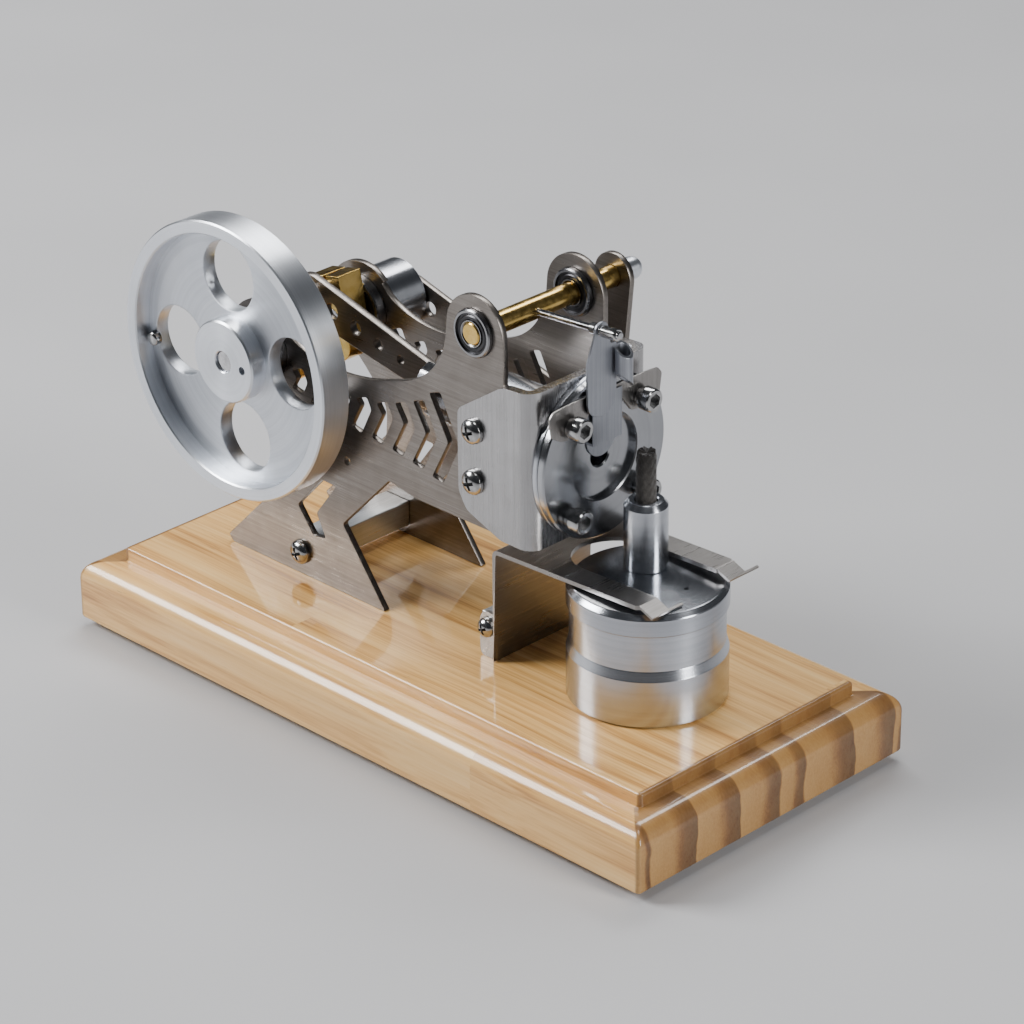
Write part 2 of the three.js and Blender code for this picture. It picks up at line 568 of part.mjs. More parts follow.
function makeValve() {
  const { x, t, eyeY, eyeZ } = HANGER;
  const outline = new THREE.Shape();
  outline.moveTo(eyeY + 2, eyeZ);
  outline.absarc(eyeY, eyeZ, 2, 0, Math.PI, false);
  outline.lineTo(-2.5, 100.1);
  outline.lineTo(-4.5, 94.6);
  outline.lineTo(-4.4, 85);
  outline.bezierCurveTo(-4.4, 80.3, 4.4, 80.3, 4.4, 85);
  outline.lineTo(4.4, 97.5);
  outline.lineTo(2.6, 97.7);
  roundHole(outline, eyeY, eyeZ, ARM.r + 0.45);
  // The tab on the far side rolls forward into a tube, cut off at a slope at both ends.
  const curl = new THREE.Shape();
  const end = -TAU / 3;
  curl.moveTo(x, ROLL.y - 2.2);
  curl.lineTo(x, ROLL.y);
  curl.absarc(x + ROLL.r, ROLL.y, ROLL.r, Math.PI, end, true);
  curl.absarc(x + ROLL.r, ROLL.y, ROLL.r - t, end, Math.PI, false);
  curl.lineTo(x + t, ROLL.y - 2.2);
  const tube = new THREE.ExtrudeGeometry(curl, { depth: 12, bevelEnabled: false, curveSegments: 9 });
  tube.translate(0, 0, 86.2);
  const above = polygon([[x - 1, 98.05], [x + 4.5, 93.88], [x + 4.5, 99], [x - 1, 99]]);
  const below = polygon([[2.5, 91.2], [2.5, 85], [8.5, 85], [8.5, 85.8]]);
  const tab = cut(tube, plateXZ(above, 0, 12), plateYZ(below, x - 1, 6));
  add('valve_hanger', union(plateYZ(outline, x, t), tab), SHEET);

  const seat = HEAD_FACE - SEAT_DEPTH + 0.1;
  const low = REED.z0 + REED.half;
  const leaf = new THREE.Shape();
  leaf.absarc(CYL.y, low, REED.half, Math.PI, TAU, false);
  leaf.lineTo(CYL.y - REED.half, low + 0.2);
  const left = CYL.y - REED.half;
  const right = CYL.y + REED.half;
  const step = box(seat, REED.x + REED.t, left, right, low - 0.4, low + 0.2);
  const upper = box(REED.x, REED.x + REED.t, left, right, low - 0.4, REED.z1);
  add('valve_reed', union(plateYZ(leaf, seat, REED.t), step, upper), SHEET);
}

// A strap under the upper two head screws, with an ear at each end.
function makeGuide() {
  const { x, t } = STRAP;
  const ear = (side) => polygon([[5, 82.9], [8, 78.9], [13.4, 78.7], [16.8, 80.5], [17.5, 84.9],
    [16.2, 86.4], [12, 86.7], [5, 86.7]].map(([a, z]) => [CYL.y + side * a, z]));
  const bridge = box(x, x + t, CYL.y - 5.4, CYL.y + 5.4, 82.9, 86.7);
  const holes = boltSpots().slice(2).map(([y, z]) => drill('x', 1.5 + FIT, x - 1, x + 2, y, z));
  add('valve_guide', cut(union(plateYZ(ear(-1), x, t), plateYZ(ear(1), x, t), bridge), ...holes), SHEET);
}

// ---------------------------------------------------------------- burner
function makeBurner() {
  const { x, y, r } = BURNER;
  const wall = 1.4;
  const neck = r - 0.7;
  const rim = 41.9;
  add('burner_body', turned('z', [
    [0, DECK + GAP], [r, DECK + GAP], [r, 31.6], [neck, 33.3], [neck, rim], [neck - wall, rim],
    [neck - wall, DECK + 2], [0, DECK + 2],
  ], x, y, 36), ALU);
  const lid = turned('z', [
    [0, rim - 1.8], [neck - wall - FIT, rim - 1.8], [neck - wall - FIT, rim + GAP], [r, rim + GAP],
    [r, LID_TOP - 1.2], [r - 1.2, LID_TOP], [0, LID_TOP],
  ], x, y, 36);
  const seat = drill('z', 2.9, rim - 3, LID_TOP + 1, TUBE.x, TUBE.y, 14);
  const vent = drill('z', 0.6, rim - 3, LID_TOP + 1, 61.8, 2.2, 8);
  add('burner_lid', cut(lid, seat, vent), ALU);
  const top = 63.2;
  add('wick_tube', turned('z', [
    [2.55, LID_TOP + GAP], [TUBE.r, LID_TOP + GAP], [TUBE.r, top - 1.3], [TUBE.r - 1.1, top],
    [2.55, top],
  ], TUBE.x, TUBE.y, 20), ALU);
  add('wick', turned('z', [[0, DECK + 5], [2.4, DECK + 5], [2.4, 73.6], [1.6, 74.6], [0, 74.8]],
    TUBE.x, TUBE.y, 14), WICK);
}

const STAND = { x: 20.5, y: 0.8, t: 1, half: 15.2, top: 47.9 };
const FORK = { tilt: 2.2 * Math.PI / 180, end: 42.9, root: 21, slot: 9.2, tab: 5.4 };
const EAR = { back: 6.1, inset: 1, screw: 3.5, z: 27.5 };

// The fork drawn in its own plane: X from the wall's front face, Y from the stand's middle.
function forkShape() {
  const { half } = STAND;
  const { end, root, slot } = FORK;
  const shape = new THREE.Shape();
  shape.moveTo(0.3, -half);
  shape.lineTo(end - 1, -half);
  shape.lineTo(end, -half + 1);
  shape.lineTo(end, -slot);
  shape.lineTo(root, -slot);
  shape.absarc(root, 0, slot, -Math.PI / 2, Math.PI / 2, true);
  shape.lineTo(end, slot);
  shape.lineTo(end, half - 1);
  shape.lineTo(end - 1, half);
  shape.lineTo(0.3, half);
  return shape;
}

function earShape() {
  const shape = new THREE.Shape();
  const front = STAND.x - STAND.t + 0.2;
  const back = STAND.x - EAR.back;
  const low = DECK + GAP;
  const high = DECK + 11.2;
  shape.moveTo(front, low);
  shape.lineTo(front, high);
  shape.lineTo(back + 2.5, high);
  shape.absarc(back + 2.5, high - 2.5, 2.5, Math.PI / 2, Math.PI, false);
  shape.lineTo(back, low + 1.5);
  shape.absarc(back + 1.5, low + 1.5, 1.5, Math.PI, Math.PI * 1.5, false);
  return shape;
}

function makeBurnerBracket() {
  const { x, y, t, half, top } = STAND;
  const bend = 1.6;
  // The wall and the bend at its top, drawn in X and Z.
  const profile = new THREE.Shape();
  profile.moveTo(x, DECK + GAP);
  profile.absarc(x - t + bend, top - bend, bend - t, Math.PI, Math.PI / 2, true);
  profile.lineTo(x + 1.2, top - t + 0.02);
  profile.lineTo(x + 1.2, top + 0.02);
  profile.absarc(x - t + bend, top - bend, bend, Math.PI / 2, Math.PI, false);
  profile.lineTo(x - t, DECK + GAP);
  const wall = plateXZ(profile, y - half, 2 * half);
  const inside = half - EAR.inset;
  const screwX = x - EAR.screw;
  const ears = [-inside, inside - t].map((from) => cut(
    plateXZ(earShape(), y + from, t),
    drill('y', 1.5 + FIT, y + from - 1, y + from + t + 1, screwX, EAR.z)));

  // A tab bends down from each tip of the fork, with a thin lip along its lower edge.
  const flat = new THREE.ExtrudeGeometry(forkShape(), {
    depth: t, bevelEnabled: false, curveSegments: 10,
  });
  const tabs = [-half + 0.4, FORK.slot + 0.2].map((from) => {
    const to = from + FORK.tab;
    const tab = union(box(-0.3, 3.9, from, to, 0.3, 0.9), box(3.3, 3.9, from, to + 4.2, 0.3, 0.7));
    tab.rotateY(0.42);
    return tab.translate(FORK.end - 0.3, 0, 0.1);
  });
  const fork = union(flat, ...tabs);
  fork.rotateY(-FORK.tilt);
  fork.translate(x, y, top - t);
  add('burner_bracket', union(wall, fork, ...ears), SHEET);

  const near = y - inside + t + GAP;
  const far = y + inside - t - GAP;
  const back = x - t - GAP;
  const bar = box(back - 5.4, back, near, far, DECK + GAP, DECK + 10.4);
  const bores = [[near - 1, near + 8], [far - 8, far + 1]].map(([a, b]) => drill(
    'y', 1.5 + FIT, a, b, screwX, EAR.z));
  add('burner_bar', cut(bar, ...bores), ALU);
  panScrew('burner_screw_near', screwX, y - inside - GAP, EAR.z, -1, 8, 2.3);
  panScrew('burner_screw_far', screwX, y + inside + GAP, EAR.z, 1, 8, 2.3);
}

makeBase();
makeFrame();
makeBracket();
makeCylinder();
const eccentric = makeCrank();
makeRod();
makePiston();
makeRocker();
makePushRod(eccentric);
makeValve();
makeGuide();
makeBurner();
makeBurnerBracket();

export default engine;
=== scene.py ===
"""Looks of the model flame-eater engine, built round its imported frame.

Shapes are worked out in millimetres and made in metres: MM turns one into the other.
"""
import json
import math
import random

import bmesh
import bpy
from mathutils import Matrix, Vector


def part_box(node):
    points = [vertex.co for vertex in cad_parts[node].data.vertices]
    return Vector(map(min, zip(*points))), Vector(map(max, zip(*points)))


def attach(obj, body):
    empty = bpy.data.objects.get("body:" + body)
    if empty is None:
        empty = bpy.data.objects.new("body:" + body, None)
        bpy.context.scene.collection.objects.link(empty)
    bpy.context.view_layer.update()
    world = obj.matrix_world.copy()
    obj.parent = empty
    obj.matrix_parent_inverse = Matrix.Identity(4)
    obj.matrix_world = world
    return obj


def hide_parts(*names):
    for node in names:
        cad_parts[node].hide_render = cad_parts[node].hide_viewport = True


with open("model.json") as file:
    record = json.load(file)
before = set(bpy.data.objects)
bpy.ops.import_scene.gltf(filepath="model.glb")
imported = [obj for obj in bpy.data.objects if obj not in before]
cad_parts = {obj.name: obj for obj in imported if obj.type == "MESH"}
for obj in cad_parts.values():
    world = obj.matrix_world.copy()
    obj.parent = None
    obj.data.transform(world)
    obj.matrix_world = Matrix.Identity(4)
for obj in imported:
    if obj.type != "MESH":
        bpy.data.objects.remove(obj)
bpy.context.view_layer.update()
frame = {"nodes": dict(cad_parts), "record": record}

MM = 0.001
TAU = math.tau
RECORD = frame["record"]
BODY_OF = {node: body for body, nodes in RECORD["behaviour"]["bodies"].items() for node in nodes}


class Box:
    """Where a CAD node is at rest, in metres."""

    def __init__(self, node):
        self.lo, self.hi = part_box(node)
        self.mid = (self.lo + self.hi) / 2
        self.size = self.hi - self.lo


def span(node, axis):
    """The two ends of a node along an axis, in millimetres."""
    box = Box(node)
    index = "xyz".index(axis)
    return box.lo[index] / MM, box.hi[index] / MM


def centre(node):
    """The middle of a node, in millimetres."""
    return [c / MM for c in Box(node).mid]


# ------------------------------------------------------------------ driving dimensions
# Read from the frame.
BOARD = Box("base_board")
HUB_X, _, HUB_Z = centre("flywheel")
ROCKER_X, _, ROCKER_Z = centre("rocker_bearing_near")
_, CYL_Y, CYL_Z = centre("head_plate")

# The base: a round-over, then a ledge, then a raised panel with its own small round-over.
LEDGE_DROP = 3.1
ROUNDING = 4.5
PANEL_X, PANEL_Y = 7.4, 8.4
PANEL_ROUNDING = 0.7
BOARD_CORNER = 0.8

# M3 screws, 5 mm shafts and 16 mm bearings.
SHANK_R = 1.5
CLEAR_R = 1.62
PAN_HEAD = 2.2
CAP_HEAD = 3.0
SHAFT_R = 2.5
SHAFT_BORE_R = 2.53
BEARING_BORE_R = 2.55

BRACKET_SHEET, BRACKET_BEND = 2.3, 3.6
BRACKET_SHOULDER = 80.2
FLANGE_AND_HEAD = (33, 41)

RIM_WALL = 3.2
WEB_SET_IN, WEB_THICK = 4.2, 3.6
WHEEL_BOSS_R = 9.8
WHEEL_HOLE_R, WHEEL_HOLE_RING, WHEEL_HOLE_TURN = 8.3, 19.3, 5.5

NUT_R, NUT_SIDE = 2.65, 4.3
ARM_Y = 2.6
ARM_TILT, ARM_SKEW = math.radians(7.54), math.radians(-6.52)
ARM_R, ARM_BORE_R = 0.85, 0.88

TANK_R, NECK_R, TANK_WALL = 17.8, 17.1, 1.4
TANK_SHOULDER = 31.2
LID_VENT = (61.8, 2.2)

# Pine: where its staves are glued, how each takes its tone, and its colours from pale to dark.
STAVE_JOINTS = [-38.8, -24.4, -10.7, 1.7, 10.0, 26.5, 39.8]
STAVE_TONES = [0.25, 0.7, 0.42, 0.85, 0.35, 0.66, 0.5, 0.3]
LONG_GRAIN = [(0.34, (0.92, 0.60, 0.25)), (0.46, (0.86, 0.515, 0.18)),
              (0.56, (0.68, 0.355, 0.10)), (0.66, (0.42, 0.185, 0.045))]
END_GRAIN = [(0.05, (0.44, 0.245, 0.08)), (0.30, (0.31, 0.155, 0.045)),
             (0.56, (0.15, 0.06, 0.016)), (0.85, (0.06, 0.022, 0.006))]
PORE_BROWN = (0.33, 0.15, 0.05)
SHOULDER_BROWN = (0.20, 0.095, 0.032)
RISER_BROWN = (0.15, 0.065, 0.018)


# ------------------------------------------------------------------ shader nodes
class Shader:
    """A node material with one Principled shader. Inputs may be numbers, colours or sockets."""

    def __init__(self, name, **constants):
        self.material = bpy.data.materials.new(name)
        self.material.use_nodes = True
        self.tree = self.material.node_tree
        self.shader = self.tree.nodes["Principled BSDF"]
        for socket, value in constants.items():
            self.shader.inputs[socket.replace("_", " ")].default_value = value

    def node(self, kind, inputs=None, output=0, **settings):
        made = self.tree.nodes.new("ShaderNode" + kind)
        for key, value in settings.items():
            setattr(made, key, value)
        for key, value in (inputs or {}).items():
            if isinstance(value, bpy.types.NodeSocket):
                self.tree.links.new(value, made.inputs[key])
            else:
                made.inputs[key].default_value = value
        return made.outputs[output]

    def math(self, operation, a, b=0.0, c=0.0):
        return self.node("Math", {0: a, 1: b, 2: c}, operation=operation)

    def spread(self, value, low, high, to_low=0.0, to_high=1.0):
        """Maps low..high smoothly to to_low..to_high."""
        return self.node(
            "MapRange",
            {"Value": value, "From Min": low, "From Max": high, "To Min": to_low, "To Max": to_high},
            interpolation_type="SMOOTHSTEP",
        )

    def mix(self, factor, a, b, blend="MIX"):
        """Mixes two colours, each a socket or plain red, green and blue."""
        made = self.tree.nodes.new("ShaderNodeMix")
        made.data_type = "RGBA"
        made.blend_type = blend
        for socket, value in ((0, factor), (6, a), (7, b)):
            if isinstance(value, bpy.types.NodeSocket):
                self.tree.links.new(value, made.inputs[socket])
            else:
                made.inputs[socket].default_value = value if socket == 0 else (*value, 1.0)
        return made.outputs[2]

    def ramp(self, value, stops, interpolation="LINEAR"):
        made = self.tree.nodes.new("ShaderNodeValToRGB")
        made.color_ramp.interpolation = interpolation
        elements = made.color_ramp.elements
        while len(elements) < len(stops):
            elements.new(1.0)
        for element, (position, colour) in zip(elements, stops):
            element.position = position
            element.color = (*colour, 1.0)
        self.tree.links.new(value, made.inputs[0])
        return made.outputs[0]

    def place(self):
        """The point in the piece's own frame, as x, y and z sockets in millimetres."""
        where = self.node("TexCoord", output=3)
        scaled = self.node("VectorMath", {0: where, 1: (1000, 1000, 1000)}, operation="MULTIPLY")
        split = self.tree.nodes.new("ShaderNodeSeparateXYZ")
        self.tree.links.new(scaled, split.inputs[0])
        return split.outputs

    def vector(self, x, y, z):
        return self.node("CombineXYZ", {0: x, 1: y, 2: z})

    def stretched(self, point, factors):
        """A point scaled along each axis, as one vector."""
        return self.vector(*[self.math("MULTIPLY", c, k) for c, k in zip(point, factors)])

    def weighted(self, *terms):
        """The sum of some values, each given with its weight."""
        total = 0.0
        for value, weight in terms:
            total = self.math("ADD", total, self.math("MULTIPLY", value, weight))
        return total

    def noise(self, vector, scale, detail=2.0, roughness=0.5, distortion=0.0):
        inputs = {"Vector": vector, "Scale": scale, "Detail": detail, "Roughness": roughness,
                  "Distortion": distortion}
        return self.node("TexNoise", inputs)

    def bump(self, height, distance, strength=1.0):
        bump = self.node("Bump", {"Height": height, "Distance": distance, "Strength": strength})
        self.tree.links.new(bump, self.shader.inputs["Normal"])

    def link(self, socket, value):
        self.tree.links.new(value, self.shader.inputs[socket])


def grey(value):
    return (value, value, value)


def lathe_metal(name, dark, light, roughness, lines, depth, anisotropic):
    """Turned metal: fine rings round the piece's own Z axis. lines is how many there are per mm."""
    s = Shader(name, Metallic=1.0, Anisotropic=anisotropic, Anisotropic_Rotation=0.25)
    x, y, z = s.place()
    radius = s.math("SQRT", s.math("ADD", s.math("MULTIPLY", x, x), s.math("MULTIPLY", y, y)))
    polar = (radius, s.math("ARCTAN2", y, x), z)
    rings = s.noise(s.stretched(polar, (lines, 0.15, lines)), 1.0, 3.0, 0.65)
    coarse = s.noise(s.stretched(polar, (0.9, 0.0, 0.9)), 1.0, 2.0)
    stain = s.noise(s.vector(x, y, z), 0.09, 3.0)
    tone = s.weighted((rings, 0.35), (coarse, 0.35), (stain, 0.3))
    s.link("Base Color", s.mix(s.spread(tone, 0.32, 0.68), dark, light))
    s.link("Roughness", s.spread(rings, 0.25, 0.75, roughness * 0.9, roughness * 1.12))
    s.link("Tangent", s.node("Tangent", direction_type="RADIAL", axis="Z"))
    s.bump(rings, depth * MM)
    return s.material


def brushed_metal(name, dark, light, roughness, along, depth, scratch=0.5):
    """Rolled and brushed sheet: long fine lines along one axis, with a few handling marks."""
    s = Shader(name, Metallic=1.0, Anisotropic=0.45)
    point = s.place()
    stretch = [0.12 if axis == along else 9.0 for axis in "xyz"]
    fine = s.noise(s.stretched(point, stretch), 1.0, 4.0, 0.7)
    wide = s.noise(s.stretched(point, [k * 0.22 for k in stretch]), 1.0, 2.0)
    cloud = s.noise(s.vector(*point), 0.11, 3.0, 0.6)
    marks = s.spread(s.noise(s.vector(*point), 0.55, 5.0, 0.75, 1.6), 0.62, 0.74)
    tone = s.weighted((fine, 0.4), (wide, 0.3), (cloud, 0.3))
    colour = s.mix(s.spread(tone, 0.3, 0.7), dark, light)
    scratched = [c * 1.25 for c in light]
    s.link("Base Color", s.mix(s.math("MULTIPLY", marks, scratch), colour, scratched))
    s.link("Roughness", s.spread(tone, 0.3, 0.7, roughness * 1.25, roughness * 0.8))
    s.bump(s.math("ADD", fine, s.math("MULTIPLY", marks, 0.3)), depth * MM)
    return s.material


def polished_metal(name, dark, light, roughness, depth):
    """Bright plated metal with faint dull patches and hairlines."""
    s = Shader(name, Metallic=1.0)
    point = s.place()
    patches = s.noise(s.vector(*point), 0.5, 4.0, 0.6)
    hair = s.noise(s.stretched(point, (7.0, 1.0, 7.0)), 1.0, 4.0, 0.7)
    s.link("Base Color", s.mix(s.spread(patches, 0.35, 0.65), dark, light))
    s.link("Roughness", s.spread(patches, 0.3, 0.7, roughness * 0.85, roughness * 1.2))
    s.bump(hair, depth * MM)
    return s.material


def pine_board(name, box):
    """Lacquered board of glued pine staves: pale long grain, brown bands across its ends."""
    s = Shader(name, Coat_Weight=0.75, Coat_Roughness=0.06, Coat_IOR=1.5, Specular_IOR_Level=0.4)
    point = x, y, z = s.place()
    last, half = box.size.x / 2 / MM, box.size.y / 2 / MM
    across = s.math("DIVIDE", s.math("ADD", y, half), 2 * half)
    joints = [(joint + half) / (2 * half) for joint in STAVE_JOINTS]
    stave = s.ramp(across, [(e, grey(t)) for e, t in zip([0.0] + joints, STAVE_TONES)], "CONSTANT")
    # Most staves are one length of wood, and a few are joined from two.
    block = s.math("FLOOR", s.math("ADD", s.math("DIVIDE", x, 230.0), s.math("MULTIPLY", stave, 7.3)))
    block_tone = s.node("TexWhiteNoise", {"Vector": s.vector(block, stave, 0.0)}, noise_dimensions="3D")
    # Growth rings: streaks that run along the board and curve a little.
    wander = s.noise(s.stretched(point, (0.012, 0.0, 0.0)), 1.0, 1.0)
    bend = s.math("MULTIPLY", s.math("SUBTRACT", wander, 0.5), 9.0)
    ring_y = s.math("ADD", s.math("ADD", y, bend), s.math("MULTIPLY", block_tone, 37.0))
    grown = (x, ring_y, z)
    slow = s.noise(s.stretched(grown, (0.010, 0.30, 0.16)), 1.0, 3.0, 0.55, 0.4)
    fine = s.noise(s.stretched(grown, (0.035, 1.7, 1.2)), 1.0, 4.0, 0.6)
    pores = s.spread(s.noise(s.stretched(grown, (0.16, 2.6, 2.6)), 1.0, 2.0), 0.73, 0.78)
    grain = s.weighted((slow, 0.62), (fine, 0.38))
    wood = s.ramp(grain, LONG_GRAIN)
    tint = s.mix(block_tone, (0.90, 0.85, 0.78), (1.0, 1.0, 1.0))
    wood = s.mix(0.4, wood, s.mix(1.0, wood, tint, "MULTIPLY"))
    wood = s.mix(s.math("MULTIPLY", pores, 0.55), wood, PORE_BROWN)
    # The ends take up the lacquer: each stave darkens towards one edge.
    stops = []
    for a, b in zip([0.0] + joints, joints + [1.0]):
        stops += [(a + 0.001, grey(0.10)), (a + (b - a) * 0.5, grey(0.25)),
                  (a + (b - a) * 0.74, grey(0.85)), (b - 0.002, grey(1.0))]
    curve = s.noise(s.stretched(point, (0.0, 0.12, 0.12)), 1.0, 2.0)
    lean = s.math("ADD", across, s.math("MULTIPLY", s.math("SUBTRACT", curve, 0.5), 0.035))
    speckle = s.noise(s.stretched(point, (0.0, 2.2, 1.4)), 1.0, 4.0, 0.7)
    band = s.weighted((s.ramp(lean, stops), 0.85), (s.math("SUBTRACT", speckle, 0.5), 0.5))
    end = s.ramp(band, END_GRAIN)
    ledge_top = box.hi.z / MM - LEDGE_DROP
    shoulder = s.spread(z, ledge_top - ROUNDING, ledge_top - 1.0)
    end = s.mix(s.math("MULTIPLY", shoulder, 0.4), end, SHOULDER_BROWN)
    # The raised panel's own end is the darkest.
    along = s.math("ABSOLUTE", x)
    riser = s.math("SUBTRACT", s.spread(along, last - 8.8, last - 8.3),
                   s.spread(along, last - 7.3, last - 6.8))
    end = s.mix(s.math("MULTIPLY", riser, 0.6), end, RISER_BROWN)
    # End grain starts at the panel's end, and stops at a mitre line towards the long sides.
    mitre = s.math("SUBTRACT", along, s.math("ABSOLUTE", y))
    mask = s.math("MINIMUM", s.spread(along, last - 8.8, last - 8.2),
                  s.spread(mitre, last - half - 1.3, last - half - 0.7))
    s.link("Base Color", s.mix(s.math("MULTIPLY", mask, 0.9), wood, end))
    s.link("Roughness", s.spread(grain, 0.3, 0.7, 0.30, 0.42))
    s.bump(s.math("SUBTRACT", fine, s.math("MULTIPLY", pores, 0.7)), 0.03 * MM, 0.6)
    return s.material


def rubber(name):
    s = Shader(name, Specular_IOR_Level=0.35)
    dust = s.noise(s.vector(*s.place()), 1.6, 5.0, 0.7)
    s.link("Base Color", s.mix(s.spread(dust, 0.4, 0.8), grey(0.012), (0.05, 0.048, 0.045)))
    s.link("Roughness", s.spread(dust, 0.3, 0.7, 0.55, 0.85))
    s.bump(dust, 0.05 * MM)
    return s.material


def charred_fibre(name, char_from):
    """Braided glass fibre, sooty towards its top. char_from is the height in mm where soot starts."""
    s = Shader(name, Specular_IOR_Level=0.25, Sheen_Weight=0.4, Sheen_Roughness=0.5)
    point = s.place()
    thread = s.noise(s.stretched(point, (3.0, 3.0, 1.0)), 4.0, 4.0, 0.8)
    soot = s.spread(point[2], char_from, char_from + 9.0)
    fibre = s.mix(s.spread(thread, 0.35, 0.7), (0.022, 0.020, 0.018), (0.11, 0.10, 0.09))
    burnt = s.mix(s.spread(thread, 0.4, 0.8), (0.006, 0.005, 0.005), (0.055, 0.048, 0.042))
    s.link("Base Color", s.mix(soot, fibre, burnt))
    s.link("Roughness", s.spread(thread, 0.3, 0.7, 0.75, 1.0))
    s.bump(thread, 0.08 * MM)
    return s.material


# ------------------------------------------------------------------ mesh helpers
def fillet(points, radius, steps=5):
    """Rounds the corners of a closed 2D line. radius holds one number per point."""
    out = []
    count = len(points)
    for i, (point, r) in enumerate(zip(points, radius)):
        here = Vector(point)
        if r == 0:
            out.append(here)
            continue
        before, after = Vector(points[i - 1]), Vector(points[(i + 1) % count])
        a, b = before - here, after - here
        cut = min(r, a.length * 0.45, b.length * 0.45)
        start, end = here + a.normalized() * cut, here + b.normalized() * cut
        for k in range(steps + 1):
            t = k / steps
            out.append(start * (1 - t) ** 2 + here * 2 * t * (1 - t) + end * t ** 2)
    return out


def arc(cx, cy, r, start, end, steps):
    """Points along an arc, from one angle to another in degrees."""
    return [(cx + r * math.cos(math.radians(start + (end - start) * k / steps)),
             cy + r * math.sin(math.radians(start + (end - start) * k / steps))) for k in range(steps + 1)]


def circle(cx, cy, r, count=64):
    return [(cx + r * math.cos(TAU * k / count), cy + r * math.sin(TAU * k / count)) for k in range(count)]


def turn_to(direction):
    """The rotation that takes +Z to a direction."""
    return Vector(direction).to_track_quat("Z", "Y").to_matrix().to_4x4()


AXES = {"x": (1, 0, 0), "y": (0, 1, 0), "z": (0, 0, 1)}


def add_object(name, mesh, matrix=None):
    obj = bpy.data.objects.new(name, mesh)
    bpy.context.scene.collection.objects.link(obj)
    if matrix is not None:
        obj.matrix_world = matrix
    return obj


def smooth(mesh, sharp=32.0):
    """Smooth shading, broken at sharp edges."""
    bm = bmesh.new()
    bm.from_mesh(mesh)
    bmesh.ops.remove_doubles(bm, verts=bm.verts, dist=1e-7)
    bmesh.ops.recalc_face_normals(bm, faces=bm.faces)
    limit = math.radians(sharp)
    for face in bm.faces:
        face.smooth = True
    for edge in bm.edges:
        edge.smooth = not (len(edge.link_faces) == 2 and edge.calc_face_angle(0.0) > limit)
    bm.to_mesh(mesh)
    bm.free()


def turned(name, profile, axis="z", origin=(0, 0, 0), segments=96, sharp=32.0):
    """A turned piece from [radius, position along the axis] in millimetres."""
    bm = bmesh.new()
    rings = []
    for radius, s in profile:
        if radius < 1e-6:
            rings.append([bm.verts.new((0, 0, s * MM))])
            continue
        rings.append([bm.verts.new((radius * MM * math.cos(TAU * k / segments),
                                    radius * MM * math.sin(TAU * k / segments), s * MM))
                      for k in range(segments)])
    hollow = len(rings[0]) > 1 and len(rings[-1]) > 1
    pairs = list(zip(rings, rings[1:])) + ([(rings[-1], rings[0])] if hollow else [])
    for low, high in pairs:
        for k in range(segments):
            n = (k + 1) % segments
            corners = [low[k % len(low)], low[n % len(low)], high[n % len(high)], high[k % len(high)]]
            unique = list(dict.fromkeys(corners))
            if len(unique) > 2:
                bm.faces.new(unique)
    mesh = bpy.data.meshes.new(name)
    bm.to_mesh(mesh)
    bm.free()
    smooth(mesh, sharp)
    direction = AXES[axis] if isinstance(axis, str) else axis
    return add_object(name, mesh, Matrix.Translation(Vector(origin) * MM) @ turn_to(direction))


def bar_profile(radius, low, high, chamfer):
    """A round bar with chamfered ends."""
    return [(0, low), (radius - chamfer, low), (radius, low + chamfer),
            (radius, high - chamfer), (radius - chamfer, high), (0, high)]


def drill(radius, low, high, axis, origin, sides=48):
    """A tool for a round hole between two faces, 1 mm longer at each end."""
    return turned("drill", [(0, low - 1), (radius, low - 1), (radius, high + 1), (0, high + 1)],
                  axis, origin, sides)


def applied(obj):
    """Replaces an object's mesh with the result of its modifiers."""
    bpy.context.view_layer.update()
    graph = bpy.context.evaluated_depsgraph_get()
    mesh = bpy.data.meshes.new_from_object(obj.evaluated_get(graph))
    if obj.type == "MESH":
        obj.modifiers.clear()
        obj.data = mesh
        return obj
    made = add_object(obj.name, mesh, obj.matrix_world.copy())
    bpy.data.objects.remove(obj)
    return made


def boolean(obj, tools, operation="DIFFERENCE", sharp=32.0):
    """Cuts an object with tools, which are used up, and smooths it again."""
    for tool in tools:
        step = obj.modifiers.new("cut", "BOOLEAN")
        step.operation = operation
        step.solver = "EXACT"
        step.object = tool
        applied(obj)
        bpy.data.objects.remove(tool)
    smooth(obj.data, sharp)
    return obj


def eased(obj, width):
    """Breaks the sharp edges of a piece by width millimetres."""
    bevel = obj.modifiers.new("edges", "BEVEL")
    bevel.width = width * MM
    bevel.segments = 2
    bevel.limit_method = "ANGLE"
    bevel.angle_limit = math.radians(32.0)
    bevel.use_clamp_overlap = True
    bevel.harden_normals = True
    obj.modifiers.new("normals", "WEIGHTED_NORMAL").keep_sharp = True
    for face in obj.data.polygons:
        face.use_smooth = True
    return applied(obj)


# How a flat piece's own X, Y and Z stand when its flat side faces along an axis.
PLANES = {
    "x": Matrix(((0, 0, 1, 0), (1, 0, 0, 0), (0, 1, 0, 0), (0, 0, 0, 1))),
    "y": Matrix(((1, 0, 0, 0), (0, 0, -1, 0), (0, 1, 0, 0), (0, 0, 0, 1))),
}


